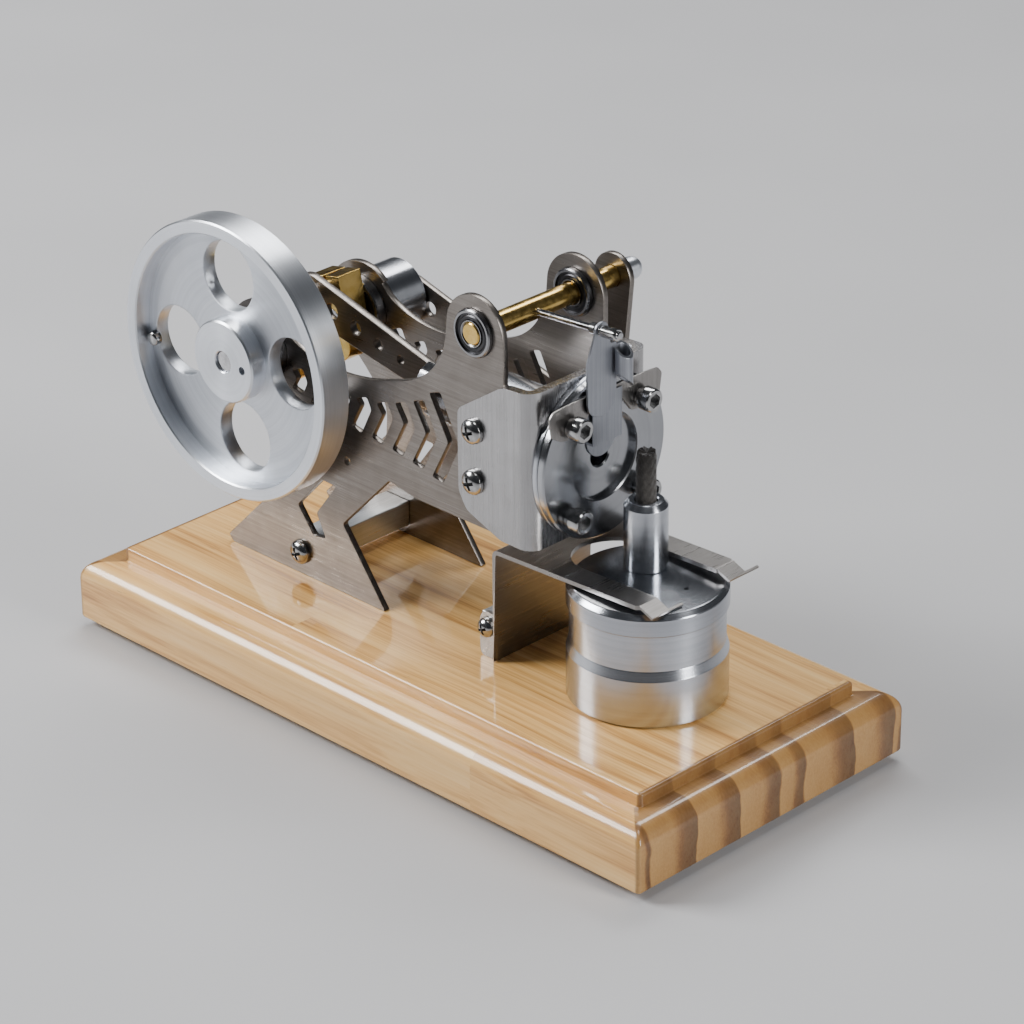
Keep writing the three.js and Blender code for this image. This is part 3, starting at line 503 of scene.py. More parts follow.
def flat_piece(name, loops, low, high, axis, edge):
    """A sheet from closed 2D loops, the outline first, with its edges eased by edge.
    For axis x the loops are in (y, z), and for y in (x, z)."""
    curve = bpy.data.curves.new(name, "CURVE")
    curve.dimensions = "2D"
    curve.fill_mode = "BOTH"
    curve.extrude = (high - low) / 2 * MM - edge * MM
    curve.bevel_depth = edge * MM
    curve.bevel_resolution = 1
    curve.offset = -edge * MM
    for loop in loops:
        spline = curve.splines.new("POLY")
        spline.points.add(len(loop) - 1)
        for point, (a, b) in zip(spline.points, loop):
            point.co = (a * MM, b * MM, 0, 1)
        spline.use_cyclic_u = True
    obj = applied(add_object(name, curve))
    bm = bmesh.new()
    bm.from_mesh(obj.data)
    bmesh.ops.remove_doubles(bm, verts=bm.verts, dist=2e-6)
    bmesh.ops.recalc_face_normals(bm, faces=bm.faces)
    limit = math.radians(40)
    for face in bm.faces:
        face.smooth = abs(face.normal.z) < 0.999
    for line in bm.edges:
        line.smooth = not (len(line.link_faces) == 2 and line.calc_face_angle(0.0) > limit)
    bm.to_mesh(obj.data)
    bm.free()
    shift = Vector(AXES[axis]) * ((low + high) / 2 * MM)
    obj.matrix_world = Matrix.Translation(shift) @ PLANES[axis]
    return obj


def cap_loops(node, axis):
    """The closed outlines of a flat CAD sheet, as 2D points in millimetres, the longest first."""
    index = "xyz".index(axis)
    u, v = [k for k in range(3) if k != index]
    bm = bmesh.new()
    bm.from_mesh(frame["nodes"][node].data)
    bmesh.ops.remove_doubles(bm, verts=bm.verts, dist=1e-6)
    bm.normal_update()
    caps = {face for face in bm.faces if face.normal[index] < -0.99}
    links = {}
    for line in bm.edges:
        if sum(face in caps for face in line.link_faces) == 1:
            a, b = line.verts
            links.setdefault(a, []).append(b)
            links.setdefault(b, []).append(a)
    loops = []
    while links:
        start = next(iter(links))
        loop, here = [start], start
        while True:
            onward = [vert for vert in links[here] if vert not in loop]
            if not onward:
                break
            here = onward[0]
            loop.append(here)
        for vert in loop:
            links.pop(vert)
        loops.append([Vector((vert.co[u], vert.co[v])) * 1000 for vert in loop])
    bm.free()
    return sorted(loops, key=lambda loop: -sum((a - b).length for a, b in zip(loop, loop[1:] + loop[:1])))


def refit(loop, corner, limit=38.0):
    """Draws a faceted loop again: circles for round holes, curves for shallow turns, and for turns
    of more than limit degrees a corner rounded by corner."""
    count = len(loop)
    middle = sum(loop, Vector((0, 0))) / count
    reach = [(point - middle).length for point in loop]
    if count >= 8 and max(reach) - min(reach) < 0.02 * max(reach):
        return circle(middle.x, middle.y, max(reach) * math.cos(math.pi / count), 56)
    edges = [(loop[(i + 1) % count] - loop[i]) for i in range(count)]
    tangents, sharp = [], []
    for i in range(count):
        a, b = edges[i - 1], edges[i]
        turn = math.degrees(a.angle(b, 0.0))
        sharp.append(turn > limit)
        if a.length > 2.2 * b.length:
            tangents.append(a.normalized())
        elif b.length > 2.2 * a.length:
            tangents.append(b.normalized())
        else:
            tangents.append((a.normalized() + b.normalized()).normalized())
    out = []
    for i in range(count):
        n = (i + 1) % count
        edge = edges[i]
        straight = edge.normalized()
        t0 = straight if sharp[i] else tangents[i]
        t1 = straight if sharp[n] else tangents[n]
        out.append((loop[i], sharp[i]))
        if t0.angle(straight, 0.0) < 0.01 and t1.angle(straight, 0.0) < 0.01:
            continue
        for k in range(1, 5):
            t = k / 5
            h1, h2 = 2 * t ** 3 - 3 * t ** 2 + 1, t ** 3 - 2 * t ** 2 + t
            h3, h4 = -2 * t ** 3 + 3 * t ** 2, t ** 3 - t ** 2
            point = loop[i] * h1 + t0 * edge.length * h2 + loop[n] * h3 + t1 * edge.length * h4
            out.append((point, False))
    return fillet([point for point, _ in out], [corner if hard else 0 for _, hard in out], 4)


def sheet_from(node, axis, corner, edge):
    """A flat CAD sheet, drawn again with true curves and eased edges."""
    loops = [refit(loop, corner) for loop in cap_loops(node, axis)]
    return flat_piece(node + "_sheet", loops, *span(node, axis), axis, edge)


def refined(node, width):
    """A copy of a CAD piece with its flat faces joined up and its edges eased."""
    obj = add_object(node + "_piece", frame["nodes"][node].data.copy())
    obj.data.materials.clear()
    bm = bmesh.new()
    bm.from_mesh(obj.data)
    bmesh.ops.remove_doubles(bm, verts=bm.verts, dist=1e-6)
    bmesh.ops.dissolve_limit(bm, angle_limit=math.radians(1.0), verts=bm.verts, edges=bm.edges)
    bm.to_mesh(obj.data)
    bm.free()
    obj.data.normals_split_custom_set([(0, 0, 0)] * len(obj.data.loops))
    return eased(obj, width)


def show(obj, material, *nodes):
    """Gives a piece its material, parents it to the body it rides, and hides the CAD nodes it stands for."""
    obj.data.materials.clear()
    obj.data.materials.append(material)
    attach(obj, BODY_OF[nodes[0]])
    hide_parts(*nodes)
    return obj


# ------------------------------------------------------------------ materials
# The warm, darkish grey of these sheets is partly their own tone and partly painted: a painted reflection of
# the warm wood and of a dark floor.
SHEET_X = brushed_metal("stainless_brushed_x", (0.165, 0.147, 0.132), (0.27, 0.248, 0.228), 0.31,
                        along="x", depth=0.007)
SHEET_Z = brushed_metal("stainless_brushed_z", (0.34, 0.335, 0.335), (0.46, 0.455, 0.46), 0.25,
                        along="z", depth=0.002)
SHEET_Y = brushed_metal("stainless_brushed_y", (0.26, 0.248, 0.238), (0.36, 0.345, 0.333), 0.30,
                        along="y", depth=0.002)
SHEET_BLUE = brushed_metal("steel_smooth", (0.27, 0.28, 0.31), (0.36, 0.375, 0.41), 0.34,
                           along="z", depth=0.002, scratch=0.1)
MILLED = brushed_metal("aluminium_milled", (0.46, 0.48, 0.50), (0.66, 0.68, 0.70), 0.32,
                       along="y", depth=0.01)
WHEEL_RIM = lathe_metal("aluminium_turned_rim", (0.66, 0.69, 0.74), (0.80, 0.83, 0.88), 0.34,
                        lines=9.0, depth=0.002, anisotropic=0.6)
WHEEL_WEB = lathe_metal("aluminium_turned_web", (0.54, 0.57, 0.62), (0.68, 0.71, 0.76), 0.40,
                        lines=5.0, depth=0.003, anisotropic=0.7)
TURNED = lathe_metal("aluminium_turned", (0.45, 0.47, 0.51), (0.58, 0.60, 0.64), 0.24,
                     lines=9.0, depth=0.0007, anisotropic=0.7)
HEAD_METAL = lathe_metal("aluminium_head", (0.34, 0.35, 0.37), (0.44, 0.45, 0.47), 0.19,
                         lines=6.0, depth=0.0006, anisotropic=0.35)
MIRROR = lathe_metal("aluminium_polished", (0.40, 0.42, 0.46), (0.52, 0.54, 0.58), 0.22,
                     lines=7.0, depth=0.0006, anisotropic=0.7)
RACE = lathe_metal("bearing_race", (0.17, 0.17, 0.18), (0.33, 0.33, 0.34), 0.24,
                   lines=9.0, depth=0.006, anisotropic=0.6)
SHIELD = lathe_metal("bearing_shield", (0.030, 0.030, 0.033), (0.08, 0.08, 0.085), 0.36,
                     lines=6.0, depth=0.006, anisotropic=0.3)
BRASS = polished_metal("brass_machined", (0.60, 0.40, 0.11), (0.72, 0.50, 0.17), 0.22, depth=0.002)
NICKEL = polished_metal("nickel_bright", grey(0.36), grey(0.54), 0.17, depth=0.002)
GROUND = polished_metal("ground_steel", (0.38, 0.38, 0.39), (0.58, 0.58, 0.59), 0.15, depth=0.002)
PINE = pine_board("pine_lacquered", BOARD)
RUBBER = rubber("foot_rubber_black")
WICK = charred_fibre("wick_braid", 66.0)


# ------------------------------------------------------------------ base
def board_ring(inset_x, inset_y, z, corner=BOARD_CORNER):
    """A rectangle with rounded corners, set in from the board's outline."""
    a, b = BOARD.size.x / 2 / MM - inset_x, BOARD.size.y / 2 / MM - inset_y
    points = []
    for sx, sy, start in ((1, -1, -90), (1, 1, 0), (-1, 1, 90), (-1, -1, 180)):
        points += arc(sx * (a - corner), sy * (b - corner), corner, start, start + 90, 6)
    return [(x * MM, y * MM, z * MM) for x, y in points]


def make_board():
    """The base and its feet. The board is drawn as rings, from its bottom to its top."""
    bottom, top = span("base_board", "z")
    ledge = top - LEDGE_DROP
    rings = [(0.7, 0.7, bottom, 0.5), (0.2, 0.2, bottom + 0.2, 0.7), (0, 0, bottom + 0.7)]
    for k in range(11):
        a = math.radians(9 * k)
        inset = ROUNDING * (1 - math.cos(a))
        rings.append((inset, inset, ledge - ROUNDING + ROUNDING * math.sin(a)))
    rings += [(PANEL_X - 0.5, PANEL_Y - 0.5, ledge), (PANEL_X - 0.15, PANEL_Y - 0.15, ledge + 0.1),
              (PANEL_X, PANEL_Y, ledge + 0.5)]
    for k in range(6):
        a = math.radians(18 * k)
        inset = PANEL_ROUNDING * (1 - math.cos(a))
        rings.append((PANEL_X + inset, PANEL_Y + inset, top - PANEL_ROUNDING + PANEL_ROUNDING * math.sin(a)))
    bm = bmesh.new()
    loops = [[bm.verts.new(co) for co in board_ring(*ring)] for ring in rings]
    for low, high in zip(loops, loops[1:]):
        for k in range(len(low)):
            n = (k + 1) % len(low)
            bm.faces.new((low[k], low[n], high[n], high[k]))
    bm.faces.new(loops[-1])
    bm.faces.new(list(reversed(loops[0])))
    mesh = bpy.data.meshes.new("board")
    bm.to_mesh(mesh)
    bm.free()
    smooth(mesh, 30)
    board = add_object("board", mesh)
    board.modifiers.new("normals", "WEIGHTED_NORMAL").keep_sharp = True
    show(applied(board), PINE, "base_board")
    for k in range(1, 5):
        node = f"rubber_foot_{k}"
        x, y, _ = centre(node)
        high = span(node, "z")[1]
        foot = turned(node + "_turned", [(0, 0.25), (4.2, 0.25), (4.6, 0), (5.5, 0), (5.9, 0.3), (6, 0.7),
                                         (6, high), (0, high)], "z", (x, y, 0), 64)
        show(foot, RUBBER, node)


# ------------------------------------------------------------------ sheet metal
def make_sheets():
    """The flat sheets, and the bars and bent pieces that are the CAD's own shapes with eased edges."""
    for node in ("side_plate_near", "side_plate_far"):
        show(sheet_from(node, "y", 0.7, 0.1), SHEET_X, node)
    for node in ("conrod", "push_rod", "rocker_lever"):
        show(sheet_from(node, "y", 0.3, 0.15), SHEET_X, node)
    show(sheet_from("valve_guide", "x", 0.6, 0.06), SHEET_Y, "valve_guide")
    for node, width, material in (
        ("burner_bracket", 0.12, SHEET_Y), ("valve_hanger", 0.08, SHEET_BLUE),
        ("valve_reed", 0.05, SHEET_BLUE), ("cross_bar", 0.3, MILLED), ("burner_bar", 0.3, MILLED),
        ("piston", 0.15, GROUND), ("crank_web_near", 0.3, BRASS), ("crank_web_far", 0.3, BRASS),
    ):
        show(refined(node, width), material, node)


def prism(name, loop, low, high, axis):
    """A plain prism, used to shape other pieces."""
    bm = bmesh.new()
    ends = [[bm.verts.new((a * MM, b * MM, h * MM)) for a, b in loop] for h in (low, high)]
    for k in range(len(loop)):
        n = (k + 1) % len(loop)
        bm.faces.new((ends[0][k], ends[0][n], ends[1][n], ends[1][k]))
    bm.faces.new(ends[1])
    bm.faces.new(list(reversed(ends[0])))
    bmesh.ops.recalc_face_normals(bm, faces=bm.faces)
    mesh = bpy.data.meshes.new(name)
    bm.to_mesh(mesh)
    bm.free()
    if axis == "y":
        mesh.transform(Matrix(((1, 0, 0, 0), (0, 0, 1, 0), (0, 1, 0, 0), (0, 0, 0, 1))))
        mesh.flip_normals()
    return add_object(name, mesh)


def bolt_holes(low, high):
    """Tools for the holes of the four head screws, between two places along X."""
    tools = []
    for k in range(1, 5):
        _, y, z = centre(f"head_screw_{k}")
        tools.append(drill(CLEAR_R, low, high, "x", (0, y, z)))
    return tools


def make_bracket():
    """A channel bent from one sheet, with its two flanks cut to shape."""
    x0, front = span("front_bracket", "x")
    y0, y1 = span("front_bracket", "y")
    z0, z1 = span("front_bracket", "z")
    t, r = BRACKET_SHEET, BRACKET_BEND
    near, far = (front - r, y0 + r), (front - r, y1 - r)
    outline = [(x0, y0)] + arc(*near, r, -90, 0, 12) + arc(*far, r, 0, 90, 12) + [(x0, y1)]
    outline += [(x0, y1 - t)] + arc(*far, r - t, 90, 0, 12) + arc(*near, r - t, 0, -90, 12) + [(x0, y0 + t)]
    bent = prism("front_bracket_bent", outline, z0, z1, "z")
    flank = [(x0, z0 + 8), (x0 + 2.4, z0 + 4), (x0 + 12.8, z0), (front + 1, z0), (front + 1, z1),
             (x0 + 13.6, z1 - 0.6), (x0, BRACKET_SHOULDER)]
    flank = fillet(flank, [1.2, 1.2, 1.2, 0, 0, 1.6, 1.6], 6)
    boolean(bent, [prism("flank", flank, -40, 40, "y")], "INTERSECT")
    tools = bolt_holes(front - 3, front + 2)
    tools.append(drill(9.3, front - 3, front + 2, "x", (0, CYL_Y, CYL_Z), 96))
    for level in ("bottom", "top"):
        x, _, z = centre(f"bracket_screw_near_{level}")
        tools.append(drill(CLEAR_R, -40, 40, "y", (x, 0, z)))
    show(eased(boolean(bent, tools), 0.13), SHEET_Z, "front_bracket")


# ------------------------------------------------------------------ screws and bearings
def recess_arm(length, width):
    """One arm of a cross recess, a bar that widens upwards."""
    bm = bmesh.new()
    rings = []
    for a, b, h in ((length * 0.4, width * 0.6, 0.5), (length, width, 2.6)):
        rings.append([bm.verts.new((sx * a * MM, sy * b * MM, h * MM))
                      for sx, sy in ((1, 1), (-1, 1), (-1, -1), (1, -1))])
    for k in range(4):
        n = (k + 1) % 4
        bm.faces.new((rings[0][k], rings[0][n], rings[1][n], rings[1][k]))
    bm.faces.new(rings[0])
    bm.faces.new(rings[1])
    bmesh.ops.recalc_face_normals(bm, faces=bm.faces)
    mesh = bpy.data.meshes.new("arm")
    bm.to_mesh(mesh)
    bm.free()
    return add_object("arm", mesh)


def pan_screw(node, side):
    """A domed screw with a cross recess. side is -1 when its head faces -Y."""
    x, _, z = centre(node)
    low, high = span(node, "y")
    seat = low + PAN_HEAD if side < 0 else high - PAN_HEAD
    length = high - low - PAN_HEAD
    size = Box(node).size
    reach = max(size.x, size.z) / 2 / MM
    lip, dome = 0.55, PAN_HEAD - 0.55
    head = [(0, -length), (1.2, -length), (SHANK_R, -length + 0.4), (SHANK_R, 0), (reach - 0.2, 0),
            (reach, 0.15)]
    head += [(reach * math.cos(math.radians(a)), lip + dome * math.sin(math.radians(a)))
             for a in range(0, 90, 7)]
    head.append((0, PAN_HEAD))
    screw = turned(node + "_turned", head, (0, side, 0), (x, seat, z), 72)
    arms = []
    for turn in (20, 110):
        arm = recess_arm(reach * 0.66, reach * 0.15)
        arm.matrix_world = screw.matrix_world @ Matrix.Rotation(math.radians(turn), 4, "Z")
        arms.append(arm)
    show(boolean(screw, arms, sharp=25), NICKEL, node)


def socket_screw(node):
    """A cap screw with a hexagon socket, its head facing +X."""
    low, high = span(node, "x")
    _, y, z = centre(node)
    seat = high - CAP_HEAD
    profile = [(0, low), (1.2, low), (SHANK_R, low + 0.4), (SHANK_R, seat), (2.6, seat), (2.7, seat + 0.15),
               (2.7, high - 0.5), (2.6, high - 0.2), (2.35, high), (0, high)]
    screw = turned(node + "_turned", profile, "x", (0, y, z), 64)
    hexagon = [(1.72 * math.cos(TAU * k / 6 + 0.3), 1.72 * math.sin(TAU * k / 6 + 0.3)) for k in range(6)]
    hole = prism("hexagon", hexagon, -2.2, 1, "z")
    hole.matrix_world = Matrix.Translation(Vector((high, y, z)) * MM) @ turn_to((1, 0, 0))
    show(boolean(screw, [hole], sharp=25), NICKEL, node)


def bearing(node):
    """Two races and a dark shield set a little below them."""
    x, _, z = centre(node)
    low, high = span(node, "y")
    reach = Box(node).size.x / 2 / MM
    bore, c = BEARING_BORE_R, 0.3
    wide, narrow = reach * 0.86, bore + (reach - bore) * 0.18
    outer = [(wide, low), (reach - c, low), (reach, low + c), (reach, high - c), (reach - c, high),
             (wide, high)]
    inner = [(bore, low + c), (bore + c, low), (narrow, low), (narrow, high), (bore + c, high),
             (bore, high - c)]
    depth, lip = 0.3, wide - 0.5
    front = [(narrow + 0.12, depth), (narrow + 0.3, depth - 0.1), (lip - 0.3, depth - 0.1),
             (lip, depth + 0.15), (wide + 0.1, depth + 0.15)]
    shield = [(radius, low + h) for radius, h in front]
    shield += [(radius, high - h) for radius, h in reversed(front)]
    for part, profile, material in (("outer_race", outer, RACE), ("inner_race", inner, RACE),
                                    ("shield", shield, SHIELD)):
        show(turned(f"{node}_{part}", profile, "y", (x, 0, z), 96), material, node)


def make_fasteners():
    """Every screw, spacer and bearing. Each screw on the near side has its pair on the far side."""
    for node in ("foot_screw_near", "bracket_screw_near_bottom", "bracket_screw_near_top",
                 "burner_screw_near"):
        pan_screw(node, -1)
        pan_screw(node.replace("near", "far"), 1)
    for k in range(1, 5):
        socket_screw(f"head_screw_{k}")
        node = f"head_spacer_{k}"
        low, high = span(node, "x")
        _, y, z = centre(node)
        ring = [(CLEAR_R, low), (2.05, low), (2.2, low + 0.15), (2.2, high - 0.15), (2.05, high),
                (CLEAR_R, high)]
        show(turned(node + "_turned", ring, "x", (0, y, z), 48), NICKEL, node)
    for node in ("crank_bearing_near", "crank_bearing_far", "rocker_bearing_near", "rocker_bearing_far"):
        bearing(node)


# ------------------------------------------------------------------ cylinder and head
def make_cylinder():
    """The cylinder with the flange at its front, and the dished head that closes it."""
    x0, x1 = span("cylinder", "x")
    reach = Box("cylinder").size.y / 2 / MM
    barrel, bore, flange = 9.2, 7.1, 34.05
    body = [(bore, x0), (barrel - 0.3, x0), (barrel, x0 + 0.3), (barrel, flange), (reach - 0.2, flange),
            (reach, flange + 0.2), (reach, x1 - 0.2), (reach - 0.2, x1), (bore, x1)]
    cylinder = turned("cylinder_turned", body, "x", (0, CYL_Y, CYL_Z), 160)
    show(boolean(cylinder, bolt_holes(*FLANGE_AND_HEAD)), TURNED, "cylinder")
    low, face = span("head_plate", "x")
    port, dish, floor = 2.75, 10.0, face - 1.4
    head = [(port, low), (reach - 0.3, low), (reach, low + 0.3), (reach, face - 0.35),
            (reach - 0.35, face), (dish + 0.3, face), (dish, face - 0.25), (dish, floor),
            (port + 0.35, floor), (port, floor - 0.3)]
    plate = turned("head_turned", head, "x", (0, CYL_Y, CYL_Z), 160)
    show(boolean(plate, bolt_holes(*FLANGE_AND_HEAD)), HEAD_METAL, "head_plate")


# ------------------------------------------------------------------ flywheel, crank and linkage
def make_wheel():
    """The flywheel as a rim, a boss and a web with four holes, and the pin that starts it."""
    front, back = span("flywheel", "y")
    hub = (HUB_X, 0, HUB_Z)
    reach = Box("flywheel").size.x / 2 / MM
    inside = reach - RIM_WALL
    rim = [(inside, front + 0.3), (inside + 0.3, front), (reach - 0.35, front), (reach, front + 0.35),
           (reach, back - 0.35), (reach - 0.35, back), (inside + 0.3, back), (inside, back - 0.3)]
    show(turned("flywheel_rim", rim, "y", hub, 256), WHEEL_RIM, "flywheel")
    bore, boss_r = SHAFT_BORE_R, WHEEL_BOSS_R
    profile = [(bore, front + 0.2), (bore + 0.2, front), (boss_r - 0.4, front), (boss_r, front + 0.4),
               (boss_r, back - 0.4), (boss_r - 0.4, back), (bore + 0.2, back), (bore, back - 0.2)]
    boss = turned("flywheel_hub", profile, "y", hub, 128)
    dimple = drill(1.0, front - 2, front + 3, "y", (HUB_X + 6.4, 0, HUB_Z - 0.2))
    show(boolean(boss, [dimple]), WHEEL_RIM, "flywheel")
    loops = [circle(0, 0, inside + 0.4, 192)]
    for k in range(4):
        a = math.radians(WHEEL_HOLE_TURN + 90 * k)
        loops.append(circle(WHEEL_HOLE_RING * math.cos(a), WHEEL_HOLE_RING * math.sin(a), WHEEL_HOLE_R, 72))
    web_low = front + WEB_SET_IN
    web = flat_piece("flywheel_web", loops, web_low, web_low + WEB_THICK, "y", 0.3)
    web.matrix_world = Matrix.Translation(Vector(hub) * MM) @ web.matrix_world
    show(web, WHEEL_WEB, "flywheel")
    x, _, z = centre("start_pin")
    low, high = span("start_pin", "y")
    pin = [(0, low), (0.7, low + 0.03), (1.2, low + 0.12), (1.55, low + 0.3), (1.7, low + 0.55),
           (1.7, high), (0, high)]
    show(turned("start_pin_turned", pin, "y", (x, 0, z), 48), NICKEL, "start_pin")


def make_crank():
    """The plain shafts, the disc that drives the valve rod, its two headed pins and the lever's nut."""
    for node, radius, material in (
        ("crankshaft_near", SHAFT_R, GROUND), ("crankshaft_far", SHAFT_R, GROUND),
        ("crank_pin", 2.0, GROUND), ("wrist_pin", 1.5, GROUND), ("rocker_shaft", SHAFT_R, BRASS),
    ):
        x, _, z = centre(node)
        shaft = turned(node + "_turned", bar_profile(radius, *span(node, "y"), 0.25), "y", (x, 0, z), 64)
        show(shaft, material, node)
    low, high = span("valve_disc", "y")
    x, _, z = centre("valve_disc")
    bottom = low + 7
    disc = [(0, bottom), (SHAFT_BORE_R, bottom), (SHAFT_BORE_R, low), (7.9, low), (8.2, low + 0.3),
            (8.2, high - 0.45), (7.75, high), (0, high)]
    ex, _, ez = centre("eccentric_pin")
    hole = drill(1.53, low + 7.4, high + 1, "y", (ex, 0, ez))
    show(boolean(turned("valve_disc_turned", disc, "y", (x, 0, z), 128), [hole]), TURNED, "valve_disc")
    for node, seat, radius in (("eccentric_pin", 1.4, 2.8), ("push_rod_pin", 1.45, 2.7)):
        low, high = span(node, "y")
        x, _, z = centre(node)
        pin = [(0, low), (1.5, low), (1.5, high - seat), (radius - 0.2, high - seat),
               (radius, high - seat + 0.2), (radius, high - 0.35), (radius - 0.35, high), (0, high)]
        show(turned(node + "_turned", pin, "y", (x, 0, z), 64), NICKEL, node)
    low, high = span("lever_nut", "y")
    dome = low + NUT_SIDE
    nut = [(0, low), (NUT_R - 0.2, low), (NUT_R, low + 0.2), (NUT_R, dome)]
    for k in range(1, 10):
        a = math.radians(9 * k)
        nut.append((NUT_R * math.cos(a), dome + (high - dome) * math.sin(a)))
    nut.append((0, high))
    show(turned("lever_nut_turned", nut, "y", (ROCKER_X, 0, ROCKER_Z), 96), WHEEL_RIM, "lever_nut")


def make_arm():
    """The thin arm on the rocker shaft, with the collar and the sleeve that the hanger runs between."""
    direction = (math.cos(ARM_TILT) * math.cos(ARM_SKEW), math.cos(ARM_TILT) * math.sin(ARM_SKEW),
                 math.sin(ARM_TILT))
    origin = (ROCKER_X, ARM_Y, ROCKER_Z)
    rod = turned("rocker_arm_turned", bar_profile(ARM_R, -2, 30.5, 0.2), direction, origin, 48)
    show(rod, GROUND, "rocker_arm")
    for node, radius, low, high in (("arm_collar", 1.35, 21.2, 23.0), ("arm_sleeve", 1.35, 24.9, 29.6)):
        ring = [(ARM_BORE_R, low), (radius - 0.15, low), (radius, low + 0.15), (radius, high - 0.15),
                (radius - 0.15, high), (ARM_BORE_R, high)]
        show(turned(node + "_turned", ring, direction, origin, 48), NICKEL, node)


# ------------------------------------------------------------------ burner
def make_burner():
    """The tank, its lid and the tube that holds the wick."""
    x, y, _ = centre("burner_body")
    z0, z1 = span("burner_body", "z")
    inner = NECK_R - TANK_WALL
    body = [(0, z0), (TANK_R - 0.6, z0), (TANK_R, z0 + 0.6), (TANK_R, TANK_SHOULDER),
            (TANK_R - 0.15, TANK_SHOULDER + 0.4), (NECK_R + 0.15, TANK_SHOULDER + 1.9),
            (NECK_R, TANK_SHOULDER + 2.3), (NECK_R, z1), (inner, z1), (inner, z0 + 2), (0, z0 + 2)]
    show(turned("burner_body_turned", body, "z", (x, y, 0), 192, 20), TURNED, "burner_body")
    low, top = span("burner_lid", "z")
    rim, plug = z1 + 0.05, inner - 0.12
    lid = [(0, low), (plug, low), (plug, rim), (TANK_R - 0.3, rim), (TANK_R, rim + 0.3),
           (TANK_R, top - 1.25), (TANK_R - 0.1, top - 1.0), (TANK_R - 1.0, top - 0.1),
           (TANK_R - 1.25, top), (0, top)]
    tube_x, tube_y, _ = centre("wick_tube")
    tools = [drill(2.9, low - 1, top + 1, "z", (tube_x, tube_y, 0)),
             drill(0.6, low - 1, top + 1, "z", (*LID_VENT, 0))]
    lid = turned("burner_lid_turned", lid, "z", (x, y, 0), 192, 20)
    show(boolean(lid, tools, sharp=20), MIRROR, "burner_lid")
    low, top = span("wick_tube", "z")
    reach = Box("wick_tube").size.x / 2 / MM
    bore = 2.55
    tube = [(bore, low), (reach - 0.2, low), (reach, low + 0.2), (reach, top - 1.3),
            (reach - 0.12, top - 1.1), (reach - 1.0, top - 0.1), (reach - 1.2, top), (bore + 0.2, top),
            (bore, top - 0.2)]
    show(turned("wick_tube_turned", tube, "z", (tube_x, tube_y, 0), 96, 20), TURNED, "wick_tube")


def make_wick():
    """A round braid: two sets of strands that cross over and under, frayed at the burnt end."""
    x, y, _ = centre("wick")
    low, high = span("wick", "z")
    rng = random.Random(7)
    around, rows = 72, 150
    strands, pitch, frayed = 9, 2.6, 1.6
    bm = bmesh.new()
    rings = []
    tufts = [rng.random() for _ in range(around)]
    for j in range(rows + 1):
        s = j / rows
        z = low + (high - low) * s
        ring = []
        for i in range(around):
            a = TAU * i / around
            p, q = strands * a + z * pitch, strands * a - z * pitch
            weave = 0.5 * (abs(math.sin(p / 2)) + abs(math.sin(q / 2)))
            weave += 0.25 * math.sin(p / 2) * math.sin(q / 2)
            end = max(0.0, (z - (high - frayed)) / frayed)
            radius = 2.08 + 0.2 * weave - 0.2 * end * end
            radius += end * 0.25 * (tufts[i] - 0.7)
            drop = 0.6 * end * tufts[(i * 5) % around]
            ring.append(bm.verts.new((radius * math.cos(a) * MM, radius * math.sin(a) * MM, (z - drop) * MM)))
        rings.append(ring)
    for a_ring, b_ring in zip(rings, rings[1:]):
        for i in range(around):
            n = (i + 1) % around
            bm.faces.new((a_ring[i], a_ring[n], b_ring[n], b_ring[i]))
    top = bm.verts.new((0, 0, (high - 0.8) * MM))
    bottom = bm.verts.new((0, 0, low * MM))
    for i in range(around):
        n = (i + 1) % around
        bm.faces.new((rings[-1][i], rings[-1][n], top))
        bm.faces.new((rings[0][n], rings[0][i], bottom))
    mesh = bpy.data.meshes.new("wick_braid")
    bm.to_mesh(mesh)
    bm.free()
    smooth(mesh, 60)
    show(add_object("wick_braid", mesh, Matrix.Translation(Vector((x, y, 0)) * MM)), WICK, "wick")


make_board()
make_sheets()
make_bracket()
make_fasteners()
make_cylinder()
make_wheel()
make_crank()
make_arm()
make_burner()
make_wick()


# ------------------------------------------------------------------ studio
CAMERA_PLACE = (0.59198, -0.58063, 0.45706)
CAMERA_AZIMUTH, CAMERA_ELEVATION, CAMERA_ROLL = 45.0, 26.425, -0.549
CAMERA_LENS = 145.53


def aim(obj, target):
    direction = Vector(target) - obj.location
    obj.rotation_euler = direction.to_track_quat("-Z", "Y").to_euler()


def area_light(name, location, target, size, power):
    data = bpy.data.lights.new(name, "AREA")
    data.shape = "RECTANGLE"
    data.size, data.size_y = size
    data.energy = power
    obj = bpy.data.objects.new(name, data)
    bpy.context.scene.collection.objects.link(obj)
    obj.location = location
    aim(obj, target)


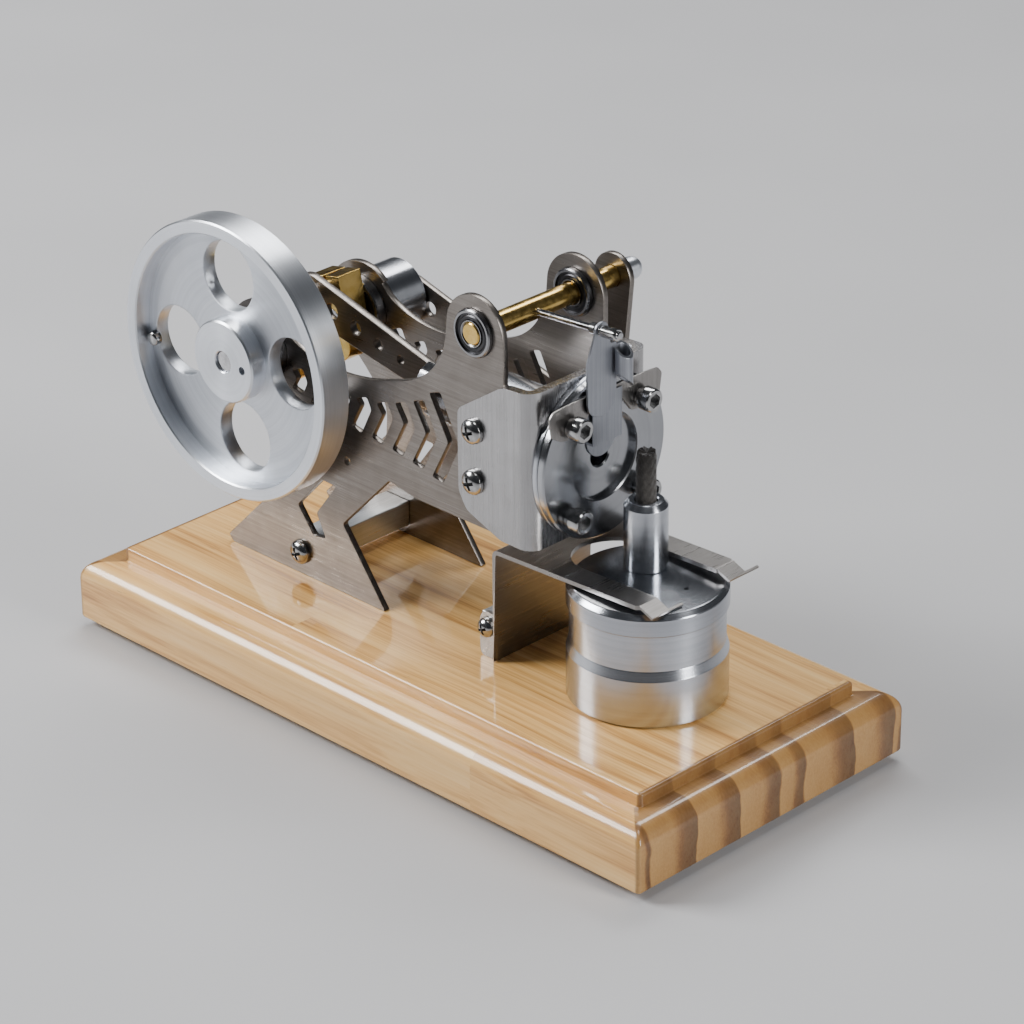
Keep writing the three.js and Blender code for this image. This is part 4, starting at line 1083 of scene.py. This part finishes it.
def make_studio():
    """A pale matt floor, four soft lights and a dim world."""
    bm = bmesh.new()
    bmesh.ops.create_grid(bm, x_segments=1, y_segments=1, size=4)
    mesh = bpy.data.meshes.new("floor")
    bm.to_mesh(mesh)
    bm.free()
    floor = add_object("floor", mesh)
    s = Shader("floor_matt", Specular_IOR_Level=0.3)
    cloud = s.noise(s.vector(*s.place()), 0.01, 2.0)
    s.link("Base Color", s.mix(cloud, (0.47, 0.47, 0.48), (0.51, 0.51, 0.52)))
    s.link("Roughness", s.spread(cloud, 0.3, 0.7, 0.5, 0.6))
    mesh.materials.append(s.material)

    world = bpy.data.worlds.new("studio")
    world.use_nodes = True
    world.node_tree.nodes["Background"].inputs[0].default_value = (0.40, 0.42, 0.46, 1)
    world.node_tree.nodes["Background"].inputs[1].default_value = 0.12
    bpy.context.scene.world = world
    middle = (0, 0, 0.06)
    area_light("key", (-0.75, -0.60, 0.70), middle, (0.5, 0.5), 19)
    area_light("back", (-0.45, 0.55, 0.95), middle, (0.8, 0.3), 8)
    area_light("right", (0.95, 0.15, 0.40), middle, (0.25, 0.5), 7.5)
    area_light("top", (0.1, 0.0, 1.1), middle, (0.35, 0.35), 2.5)


def make_camera():
    """The photo's camera, as fitted to the base's edges."""
    azimuth, elevation, roll = (math.radians(a) for a in (CAMERA_AZIMUTH, CAMERA_ELEVATION, CAMERA_ROLL))
    back = Vector((math.sin(azimuth) * math.cos(elevation), -math.cos(azimuth) * math.cos(elevation),
                   math.sin(elevation)))
    right = (-back).cross(Vector((0, 0, 1))).normalized()
    up = right.cross(-back)
    side = right * math.cos(roll) + up * math.sin(roll)
    top = up * math.cos(roll) - right * math.sin(roll)
    data = bpy.data.cameras.new("camera")
    data.lens = CAMERA_LENS
    data.sensor_width = 36
    camera = bpy.data.objects.new("camera", data)
    bpy.context.scene.collection.objects.link(camera)
    turn = Matrix((side, top, back)).transposed().to_4x4()
    camera.matrix_world = Matrix.Translation(CAMERA_PLACE) @ turn
    bpy.context.scene.camera = camera


make_studio()
make_camera()
